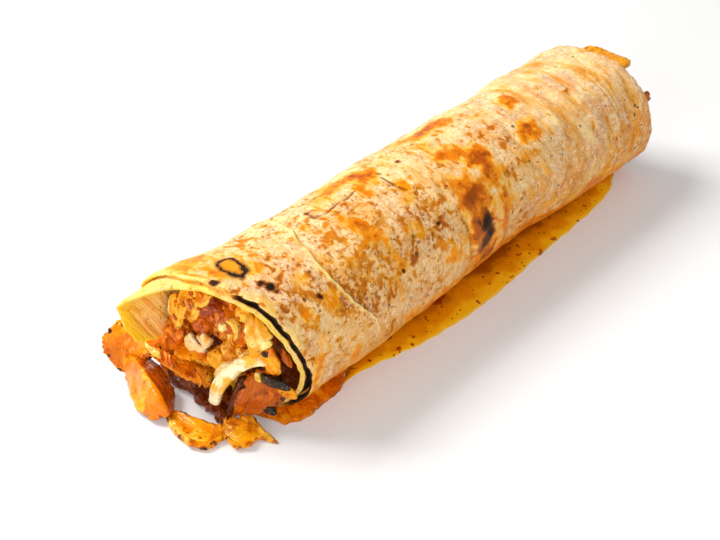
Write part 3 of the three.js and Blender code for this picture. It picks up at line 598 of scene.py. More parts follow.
def join_parts(name, parts):
    verts, faces, meat, uv, base, index = [], [], [], [], 0, []
    for part in parts:
        verts.append(part["verts"])
        faces += [np.asarray(f) + base for f in part["faces"]]
        index += [np.full(len(f), part.get("index", 0), np.int32) for f in part["faces"]]
        meat.append(part["meat"])
        uv.append(part["uv"])
        base += len(part["verts"])
    ob = make_object(name, np.concatenate(verts), faces)
    paint(ob, "meat", np.concatenate(meat))
    set_uv(ob, np.concatenate(uv))
    ob.data.polygons.foreach_set("material_index", np.concatenate(index))
    return ob


def also(index, part):
    """Gives a part the object's second (1) or third (2) material."""
    part["index"] = index
    return part


def fill_depth(theta):
    inside = BREAD + PITCH * (630 - theta) / 360 + 0.15
    outside = BREAD + PITCH * (270 - theta) / 360 + 0.15
    return np.where(theta < -60, outside, inside)


def build_filling():
    """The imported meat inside. Only its two ragged ends can be seen."""
    around = 260
    th = -90 + 360 * np.arange(around) / around
    rr = np.concatenate([np.linspace(0.02, 0.94, 44), [0.97, 1.0]])
    rows, kind = [], []
    def face(theta, r, side):
        t = np.radians(theta)
        un = 2.2 * np.sin(3 * t + 5 * r + side) + 1.8 * np.sin(5 * t - 7 * r + 2 * side) + 2.4 * np.sin(7 * r * np.cos(t) + 3 * side)
        return un * (1 - 0.75 * smooth(0.8, 1, r))
    front = FILL_FRONT + 3 * np.sin(np.radians(th) + 2.2)
    back = FILL_BACK - 3 * np.sin(np.radians(th))
    def ring(x, r, side):
        y, z = section(th, fill_depth(th), np.clip(x, -112, 112))
        p = np.stack([x, y * r, MID_HEIGHT + (z - MID_HEIGHT) * r], -1)
        if side:
            q = p * [0.35, 1, 1] + 40 * side
            lumps = 1.9 * fbm(q, 6.5, 3, 60 + side) + 1.1 * (1 - 2 * np.abs(fbm(q, 5, 3, 62 + side))) + 0.7 * fbm(q, 2.0, 3, 64 + side)
            p[:, 0] += (face(th, r, side) * 0.8 - (1.6 if side == 1 else -1.6)) * (1 if side == 2 else 1) + lumps * (1 - 0.55 * smooth(0.9, 1, r)) * (-1 if side == 1 else 1)
        return p
    for r in rr:
        rows.append(ring(front, r, 1))
    for x in np.linspace(-92, 92, 14):
        rows.append(ring(np.full(around, x), 1.0, 0))
    for r in rr[::-1]:
        rows.append(ring(back, r, 2))
    P = np.stack(rows)
    n = len(rows)
    verts = np.concatenate([P.reshape(-1, 3), [P[0].mean(0)], [P[-1].mean(0)]])
    i, k = np.meshgrid(np.arange(n - 1), np.arange(around), indexing="ij")
    a = i * around + k
    b = i * around + (k + 1) % around
    quads = np.stack([a, a + around, b + around, b], -1).reshape(-1, 4)
    k = np.arange(around)
    cap0 = np.stack([np.full(around, n * around), k, (k + 1) % around], -1)
    o = (n - 1) * around
    cap1 = np.stack([np.full(around, n * around + 1), o + (k + 1) % around, o + k], -1)
    ob = make_object("packed_filling", verts, [quads, cap0, cap1])
    q = verts
    big, mid_ = fbm(q, 5, 3, 70), fbm(q, 1.8, 3, 71)
    at = np.stack([np.clip(0.45 + 0.3 * mid_, 0, 1), np.clip(0.5 + 0.5 * big, 0, 1), np.clip(0.5 + 0.5 * mid_, 0, 1), np.clip(0.6 - 0.5 * mid_, 0, 1)], -1)
    paint(ob, "meat", at)
    ang = np.concatenate([np.tile(np.arange(around) / around, n), [0, 0]])
    rowv = np.concatenate([np.repeat(np.arange(n) / n, around), [0, 1]])
    set_uv(ob, np.stack([ang, rowv], -1))
    return ob


# ---------------------------------------------------------------------------
# Materials
# ---------------------------------------------------------------------------
class Nodes:
    """Small helper for building node trees."""

    def __init__(self, name):
        self.mat = bpy.data.materials.new(name)
        self.mat.use_nodes = True
        self.t = self.mat.node_tree
        self.t.nodes.clear()
        self.out = self.t.nodes.new("ShaderNodeOutputMaterial")
        self.bsdf = self.t.nodes.new("ShaderNodeBsdfPrincipled")
        self.t.links.new(self.bsdf.outputs[0], self.out.inputs[0])
        self.coord = self.t.nodes.new("ShaderNodeTexCoord")
        self.co = self.coord.outputs["Object"]

    def new(self, kind, **values):
        n = self.t.nodes.new(kind)
        for k, v in values.items():
            setattr(n, k, v)
        return n

    def put(self, socket, value):
        if hasattr(value, "is_linked") or hasattr(value, "links"):
            self.t.links.new(value, socket)
        else:
            socket.default_value = value

    def attr(self, name):
        n = self.new("ShaderNodeAttribute", attribute_name=name)
        s = self.new("ShaderNodeSeparateColor")
        self.t.links.new(n.outputs["Color"], s.inputs[0])
        return s.outputs[0], s.outputs[1], s.outputs[2], n.outputs["Alpha"]

    def noise(self, scale, detail=3.0, rough=0.5, vec=None, distortion=0.0, out="Fac"):
        n = self.new("ShaderNodeTexNoise")
        self.put(n.inputs["Vector"], vec or self.co)
        n.inputs["Scale"].default_value = scale
        n.inputs["Detail"].default_value = detail
        n.inputs["Roughness"].default_value = rough
        n.inputs["Distortion"].default_value = distortion
        return n.outputs[out]

    def voronoi(self, scale, vec=None, feature="F1", out="Distance", randomness=1.0):
        n = self.new("ShaderNodeTexVoronoi", feature=feature)
        self.put(n.inputs["Vector"], vec or self.co)
        n.inputs["Scale"].default_value = scale
        n.inputs["Randomness"].default_value = randomness
        return n.outputs[out]

    def math(self, op, a, b=0.0, c=None, clamp=False):
        n = self.new("ShaderNodeMath", operation=op, use_clamp=clamp)
        self.put(n.inputs[0], a)
        self.put(n.inputs[1], b)
        if c is not None:
            self.put(n.inputs[2], c)
        return n.outputs[0]

    def step(self, value, lo, hi, to_lo=0.0, to_hi=1.0):
        n = self.new("ShaderNodeMapRange", interpolation_type="SMOOTHSTEP")
        self.put(n.inputs["Value"], value)
        n.inputs["From Min"].default_value = lo
        n.inputs["From Max"].default_value = hi
        n.inputs["To Min"].default_value = to_lo
        n.inputs["To Max"].default_value = to_hi
        return n.outputs[0]

    def mix(self, fac, a, b, blend="MIX"):
        n = self.new("ShaderNodeMix", data_type="RGBA", blend_type=blend)
        self.put(n.inputs[0], fac)
        for s, v in ((n.inputs[6], a), (n.inputs[7], b)):
            self.put(s, (*v, 1.0) if isinstance(v, tuple) and len(v) == 3 else v)
        return n.outputs[2]

    def mapping(self, scale=(1, 1, 1), rot=(0, 0, 0), vec=None):
        n = self.new("ShaderNodeMapping")
        self.put(n.inputs["Vector"], vec or self.co)
        n.inputs["Scale"].default_value = scale
        n.inputs["Rotation"].default_value = rot
        return n.outputs[0]

    def bump(self, height, strength, distance, normal=None):
        n = self.new("ShaderNodeBump")
        self.put(n.inputs["Height"], height)
        n.inputs["Strength"].default_value = strength
        n.inputs["Distance"].default_value = distance
        if normal is not None:
            self.t.links.new(normal, n.inputs["Normal"])
        return n.outputs[0]


def rgb(r, g, b):
    """sRGB 0-255 to linear."""
    def f(c):
        c /= 255
        return c / 12.92 if c <= 0.04045 else ((c + 0.055) / 1.055) ** 2.4
    return (f(r), f(g), f(b))


def bread_material():
    m = Nodes("baked_bread")
    stain, char, toast, oil = m.attr("marks")
    ring, warm, cracks_and_shade, inside = m.attr("areas")
    tan_and_low_shade, fold_highlight_and_lip, streak, _ = m.attr("tones")
    uvn = m.new("ShaderNodeUVMap")
    mp = m.new("ShaderNodeMapping")
    m.put(mp.inputs["Vector"], uvn.outputs[0])
    mp.inputs["Scale"].default_value = (420 * 0.22, 530.6, 1)
    drawn = mp.outputs[0]                                   # stretched round the roll
    big = m.noise(42, 3, 0.55)
    big2 = m.noise(75, 4, 0.6, m.mapping((1, 1, 1), (0.3, 0.7, 0.1)))
    midn = m.noise(240, 4, 0.62)
    fine = m.noise(760, 4, 0.65)
    lines = m.noise(0.55, 4, 0.62, drawn, 0.4)
    half = lambda v, k: m.math("MULTIPLY", m.math("SUBTRACT", v, 0.5), k)
    # baked dough: cream, with pinkish tan and yellow clouds; browner low on the sides, partly soaked oil and partly
    # painted shade with warm bounce light
    base = m.mix(m.step(big, 0.36, 0.64), rgb(246, 209, 146), rgb(232, 184, 122))
    base = m.mix(m.math("MULTIPLY", m.step(m.math("ADD", big2, half(fine, 0.3)), 0.44, 0.66), 0.75), base, rgb(216, 164, 128))
    base = m.mix(m.math("MULTIPLY", tan_and_low_shade, 0.95), base, m.mix(1.0, base, rgb(234, 190, 128), "MULTIPLY"))
    base = m.mix(m.math("MULTIPLY", m.step(fine, 0.52, 0.72), 0.18), base, rgb(190, 124, 58))
    pale = m.step(m.math("ADD", fine, m.math("ADD", half(midn, 0.7), half(big, -0.5))), 0.54, 0.36)
    base = m.mix(m.math("MULTIPLY", pale, 0.5), base, rgb(253, 230, 188))
    st = m.math("ADD", streak, m.math("ADD", half(lines, 0.9), half(big, 0.5)))
    base = m.mix(m.math("MULTIPLY", m.step(st, 0.54, 0.92), 0.65), base, rgb(236, 160, 30))
    base = m.mix(m.math("MULTIPLY", m.step(m.math("ADD", st, half(midn, 0.7)), 0.82, 1.15), 0.7), base, rgb(200, 112, 10))
    # the oily inner bread
    base = m.mix(m.math("MULTIPLY", warm, m.step(midn, 0.2, 0.6, 0.8, 1.0), clamp=True), base, m.mix(m.step(big2, 0.4, 0.6), rgb(255, 214, 84), rgb(255, 212, 124)))
    across, along = m.new("ShaderNodeVectorMath", operation="DOT_PRODUCT"), m.new("ShaderNodeVectorMath", operation="DOT_PRODUCT")
    for n, way in ((across, (-0.809, 0.378, -0.45)), (along, (0.588, 0.52, -0.62))):
        m.put(n.inputs[0], m.co)
        n.inputs[1].default_value = way
    flat = m.new("ShaderNodeCombineXYZ")
    m.put(flat.inputs[0], across.outputs["Value"])
    m.put(flat.inputs[1], m.math("MULTIPLY", along.outputs["Value"], 0.08))
    ribs = m.noise(560, 3, 0.55, flat.outputs[0], 0.15)
    base = m.mix(m.math("MULTIPLY", m.math("MULTIPLY", inside, m.step(ribs, 0.48, 0.62)), 0.75), base, rgb(232, 156, 30))
    # toasted spots, darker at the heart, in a golden haze
    sn = m.noise(290, 2.0, 0.5, m.mapping((1.0, 0.85, 0.85)), 0.45)
    sn2 = m.noise(700, 2.0, 0.5, m.mapping((1, 1, 1), (1.1, 0.2, 0.6)), 0.3)
    clump = m.math("ADD", m.math("MULTIPLY", m.math("SUBTRACT", toast, 0.66), 0.22), m.math("ADD", half(big2, 0.34), half(lines, 0.12)))
    v1 = m.math("ADD", sn, clump)
    haze = m.step(v1, 0.46, 0.6)
    spot = m.step(m.math("ADD", v1, half(fine, 0.1)), 0.545, 0.65)
    spot_in = m.step(m.math("ADD", v1, half(fine, 0.25)), 0.61, 0.73)
    base = m.mix(m.math("MULTIPLY", haze, 0.45), base, rgb(232, 162, 50))
    scol = m.mix(spot_in, m.mix(m.step(big, 0.42, 0.6), rgb(222, 144, 20), rgb(206, 122, 24)), m.mix(m.step(big2, 0.45, 0.62), rgb(206, 116, 4), rgb(162, 82, 6)))
    base = m.mix(m.math("MULTIPLY", spot, 0.95), base, scol)
    v2 = m.math("ADD", sn2, m.math("MULTIPLY", clump, 0.9))
    base = m.mix(m.math("MULTIPLY", m.step(v2, 0.58, 0.68), 0.8), base, m.mix(m.step(big2, 0.4, 0.6), rgb(196, 104, 2), rgb(160, 80, 8)))
    # painted highlight: pale cream line along the fold's top edge; on the inner face the same channel gives the yellow
    # lip by the rim
    base = m.mix(m.math("MULTIPLY", fold_highlight_and_lip, m.math("SUBTRACT", 0.95, inside)), base, rgb(254, 222, 138))
    base = m.mix(m.math("MULTIPLY", fold_highlight_and_lip, inside), base, rgb(253, 206, 22))
    # tiny dark specks
    vd = m.voronoi(185)
    speck = m.step(m.math("ADD", vd, half(m.noise(60, 2), 0.5)), 0.1, 0.055)
    base = m.mix(m.math("MULTIPLY", speck, 0.8), base, rgb(66, 38, 16))
    # soaked stains: golden wash, orange body, brown heart
    s0 = m.math("ADD", stain, m.math("ADD", half(big2, 0.35), half(lines, 0.7)))
    s1 = m.math("ADD", stain, m.math("ADD", half(midn, 0.95), half(lines, 1.1)))
    s1 = m.math("ADD", s1, half(sn, 1.25))
    s2 = m.math("ADD", stain, m.math("ADD", half(midn, 1.2), half(sn, 0.9)))
    s2 = m.math("ADD", s2, half(fine, 0.6))
    base = m.mix(m.math("MULTIPLY", m.step(s0, 0.12, 0.6), 0.8), base, rgb(248, 176, 26))
    base = m.mix(m.math("MULTIPLY", m.step(s1, 0.34, 0.7), 0.95), base, m.mix(m.step(big, 0.42, 0.58), rgb(242, 144, 0), rgb(226, 122, 2)))
    base = m.mix(m.math("MULTIPLY", m.step(s2, 0.72, 1.12), 0.95), base, rgb(186, 84, 0))
    base = m.mix(m.math("MULTIPLY", m.step(s2, 1.05, 1.4), 0.6), base, rgb(120, 52, 6))
    # dark cracks, and painted shade in the creases and along the foot of the fold
    base = m.mix(m.math("MULTIPLY", m.step(m.math("ADD", cracks_and_shade, half(fine, 0.3)), 0.3, 0.8), 0.85), base, rgb(128, 62, 14))
    # burns with a brown halo
    cf = m.math("ADD", char, m.math("ADD", half(fine, 0.5), half(midn, 0.55)))
    base = m.mix(m.math("MULTIPLY", m.step(cf, 0.06, 0.4), 0.85), base, rgb(168, 82, 6))
    base = m.mix(m.math("MULTIPLY", m.step(cf, 0.36, 0.62), 0.9), base, rgb(74, 34, 10))
    base = m.mix(m.step(cf, 0.6, 0.85), base, rgb(26, 16, 12))
    # bubble rings
    rr = m.math("ADD", m.math("MULTIPLY", ring, 4.0), m.math("ADD", half(m.noise(420, 2), 0.55), half(m.noise(160, 1), 0.35)))
    rd = m.math("ABSOLUTE", m.math("SUBTRACT", rr, 1.0))
    ring_in = m.step(rr, 1.0, 0.7)
    base = m.mix(m.math("MULTIPLY", m.step(rr, 2.1, 1.1), 0.6), base, rgb(232, 158, 44))
    base = m.mix(m.math("MULTIPLY", ring_in, 0.85), base, rgb(238, 148, 18))
    base = m.mix(m.math("MULTIPLY", m.step(rd, 0.5, 0.25), 0.75), base, rgb(134, 72, 18))
    ringc = m.step(m.math("ADD", rd, m.math("ADD", half(fine, 0.4), half(midn, 0.25))), 0.2, 0.1)
    base = m.mix(ringc, base, rgb(36, 20, 12))
    m.put(m.bsdf.inputs["Base Color"], base)
    wet = m.math("MULTIPLY", m.math("MAXIMUM", m.step(s1, 0.3, 0.7), oil), 0.24)
    rough = m.math("SUBTRACT", m.math("ADD", 0.54, m.math("MULTIPLY", midn, 0.2)), wet)
    rough = m.math("ADD", rough, m.math("MULTIPLY", m.step(cf, 0.4, 0.6), 0.1), clamp=True)
    m.put(m.bsdf.inputs["Roughness"], rough)
    m.bsdf.inputs["Specular IOR Level"].default_value = 0.22
    m.bsdf.inputs["Specular Tint"].default_value = (1.0, 0.78, 0.42, 1.0)
    m.bsdf.inputs["Subsurface Weight"].default_value = 0.25
    m.bsdf.inputs["Subsurface Radius"].default_value = (1.0, 0.5, 0.15)
    m.bsdf.inputs["Subsurface Scale"].default_value = 0.0026
    hgt = m.math("ADD", m.math("MULTIPLY", midn, 0.9), m.math("MULTIPLY", fine, 0.4))
    hgt = m.math("ADD", hgt, m.math("MULTIPLY", lines, 0.5))
    hgt = m.math("SUBTRACT", hgt, m.math("MULTIPLY", spot, 0.12))
    hgt = m.math("SUBTRACT", hgt, m.math("MULTIPLY", m.step(cf, 0.3, 0.7), 0.3))
    hgt = m.math("SUBTRACT", hgt, m.math("MULTIPLY", ringc, 0.35))
    hgt = m.math("ADD", hgt, m.math("MULTIPLY", m.math("MULTIPLY", inside, ribs), 1.6))
    b1 = m.bump(hgt, 0.7, 0.0008)
    b2 = m.bump(m.noise(1700, 3, 0.6), 0.3, 0.00025, b1)
    m.put(m.bsdf.inputs["Normal"], b2)
    return m.mat


def meat_material(name, flesh, sauce, deep, dark, pale=None, sauce_at=0.5, pale_at=0.62, rough=0.26, sss=0.2, coat=0.6, specks=0.23, dark_at=0.5, deep_at=0.62):
    m = Nodes(name)
    edge, cover, fib, hollow_and_shade = m.attr("meat")
    half = lambda v, k: m.math("MULTIPLY", m.math("SUBTRACT", v, 0.5), k)
    big = m.noise(130, 3, 0.55)
    mid = m.noise(430, 4, 0.6)
    fine = m.noise(1300, 3, 0.6)
    uvn = m.new("ShaderNodeUVMap")
    mp = m.new("ShaderNodeMapping")
    m.put(mp.inputs["Vector"], uvn.outputs[0])
    mp.inputs["Scale"].default_value = (6, 80, 1)
    fibn = m.noise(1.0, 3, 0.6, mp.outputs[0], 0.3)
    strands = m.math("ADD", m.math("MULTIPLY", fibn, 0.55), m.math("MULTIPLY", fib, 0.45))
    base = m.mix(m.step(strands, 0.36, 0.64), tuple(c * 0.84 for c in flesh), tuple(min(1, c * 1.12) for c in flesh))
    if pale:
        base = m.mix(m.math("MULTIPLY", m.step(m.math("ADD", strands, m.math("ADD", half(big, 0.9), half(mid, 0.5))), pale_at - 0.14, pale_at + 0.1), 0.85), base, pale)
    cv = m.math("ADD", cover, m.math("ADD", half(mid, 0.7), half(hollow_and_shade, 0.4)))
    base = m.mix(m.step(cv, sauce_at - 0.2, sauce_at + 0.2), base, m.mix(m.step(big, 0.38, 0.62), sauce, tuple(c * 0.78 for c in sauce)))
    # deep colour where the relief is low, and painted shade where shade_right asks for it
    dp = m.math("ADD", hollow_and_shade, m.math("ADD", half(big, 0.6), half(mid, 0.3)))
    base = m.mix(m.math("MULTIPLY", m.step(dp, deep_at - 0.16, deep_at + 0.22), 0.85), base, deep)
    ed = m.math("ADD", edge, m.math("ADD", half(mid, 0.7), half(fine, 0.3)))
    base = m.mix(m.math("MULTIPLY", m.step(ed, dark_at - 0.25, dark_at + 0.02), 0.8), base, deep)
    base = m.mix(m.step(ed, dark_at, dark_at + 0.22), base, dark)
    base = m.mix(m.math("MULTIPLY", m.step(fine, 0.55, 0.72), 0.25), base, tuple(min(1, c * 1.35 + 0.02) for c in flesh))
    vd = m.voronoi(430)
    sp = m.step(m.math("ADD", vd, half(m.noise(150, 2), 0.5)), specks, specks - 0.06)
    base = m.mix(m.math("MULTIPLY", sp, 0.8), base, dark)
    m.put(m.bsdf.inputs["Base Color"], base)
    r = m.math("ADD", rough, half(m.noise(260, 3), 0.4))
    m.put(m.bsdf.inputs["Roughness"], m.math("MAXIMUM", r, 0.1))
    m.bsdf.inputs["Subsurface Weight"].default_value = sss
    m.bsdf.inputs["Subsurface Radius"].default_value = (1.0, 0.35, 0.04)
    m.bsdf.inputs["Subsurface Scale"].default_value = 0.003
    m.bsdf.inputs["Specular IOR Level"].default_value = 0.16
    m.bsdf.inputs["Specular Tint"].default_value = (1.0, 0.6, 0.2, 1.0)
    m.bsdf.inputs["Coat Weight"].default_value = coat
    m.bsdf.inputs["Coat IOR"].default_value = 1.36
    m.bsdf.inputs["Coat Roughness"].default_value = 0.07
    hgt = m.math("ADD", m.math("MULTIPLY", mid, 0.8), m.math("MULTIPLY", fibn, 0.5))
    b1 = m.bump(hgt, 0.6, 0.0009)
    b2 = m.bump(fine, 0.3, 0.0003, b1)
    m.put(m.bsdf.inputs["Normal"], b2)
    b3 = m.bump(m.noise(430, 2, 0.5), 0.6, 0.001)
    m.put(m.bsdf.inputs["Coat Normal"], b3)
    return m.mat


def finish_piece(ob, mat, nodes):
    for one in mat if isinstance(mat, tuple) else (mat,):
        ob.data.materials.append(one)
    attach(ob, "root")
    if nodes:
        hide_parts(*nodes)
    return ob


INK = rgb(48, 20, 8)
ORANGE = meat_material("orange_chicken", rgb(248, 150, 2), rgb(236, 124, 0), rgb(188, 78, 0), INK, rgb(255, 188, 40), 0.55, 0.66, specks=0.15)
GOLD = meat_material("golden_chicken", rgb(240, 156, 8), rgb(222, 122, 0), rgb(168, 72, 0), INK, rgb(252, 198, 76), 0.6, 0.6, specks=0.17)
AMBER = meat_material("amber_chicken", rgb(230, 128, 4), rgb(206, 92, 0), rgb(142, 50, 0), INK, rgb(252, 186, 60), 0.5, 0.64, specks=0.15)
BROWN = meat_material("browned_chicken", rgb(196, 94, 0), rgb(180, 76, 0), rgb(120, 40, 0), rgb(50, 20, 10), rgb(212, 116, 8), 0.55, 0.82, specks=0.13)
PALE = meat_material("pale_chicken", rgb(248, 216, 156), rgb(246, 178, 50), rgb(232, 140, 24), rgb(170, 84, 14), rgb(252, 236, 200), 0.7, 0.56, 0.3, 0.25, 0.4, 0.1, 0.75, 0.85)
CREAM = meat_material("creamy_chicken", rgb(255, 198, 74), rgb(252, 166, 16), rgb(220, 112, 4), INK, rgb(255, 234, 158), 0.55, 0.55, 0.28, 0.22, 0.5, 0.13, 0.6, 0.74)
SAUCE = meat_material("thick_sauce", rgb(214, 106, 2), rgb(190, 76, 0), rgb(128, 38, 0), rgb(62, 16, 2), rgb(244, 158, 30), 0.5, 0.7, 0.16, 0.2, 0.9, 0.13)
DEEP = meat_material("deep_filling", rgb(176, 78, 2), rgb(134, 46, 0), rgb(70, 18, 0), rgb(32, 10, 1), rgb(214, 122, 18), 0.45, 0.75, 0.3, specks=0.1)
# dark glaze: real glaze on the big slice's edge, and partly painted shade on the lumps low in the mouth
GLAZE_AND_SHADE = meat_material("dark_glaze_and_shade", rgb(104, 36, 1), rgb(76, 22, 0), rgb(48, 12, 1), rgb(28, 9, 3), rgb(160, 72, 6), 0.5, 0.75, 0.14, 0.08, 0.6, 0.12)
CHARRED = meat_material("charred_chicken", rgb(226, 128, 30), rgb(30, 20, 15), rgb(24, 16, 12), rgb(14, 10, 9), rgb(240, 178, 90), 0.42, 0.7, 0.3, 0.1, 0.7, 0.13, 0.4, 0.6)


bread = finish_piece(build_bread(), bread_material(), ["flatbread"])
filling = finish_piece(build_filling(), DEEP, ["filling"])


def ring_stations(centre, ry, rz, width, start, sweep, steps, lean=0.0):
    """Edges of a strip bent into a ring that faces the mouth."""
    out = []
    for k in range(steps):
        a = math.radians(start + sweep * k / (steps - 1))
        y, z = centre[1] + ry * math.cos(a), centre[2] + rz * math.sin(a)
        x = centre[0] + lean * k
        out.append([[x - width / 2, y, z], [x + width / 2, y, z]])
    return out


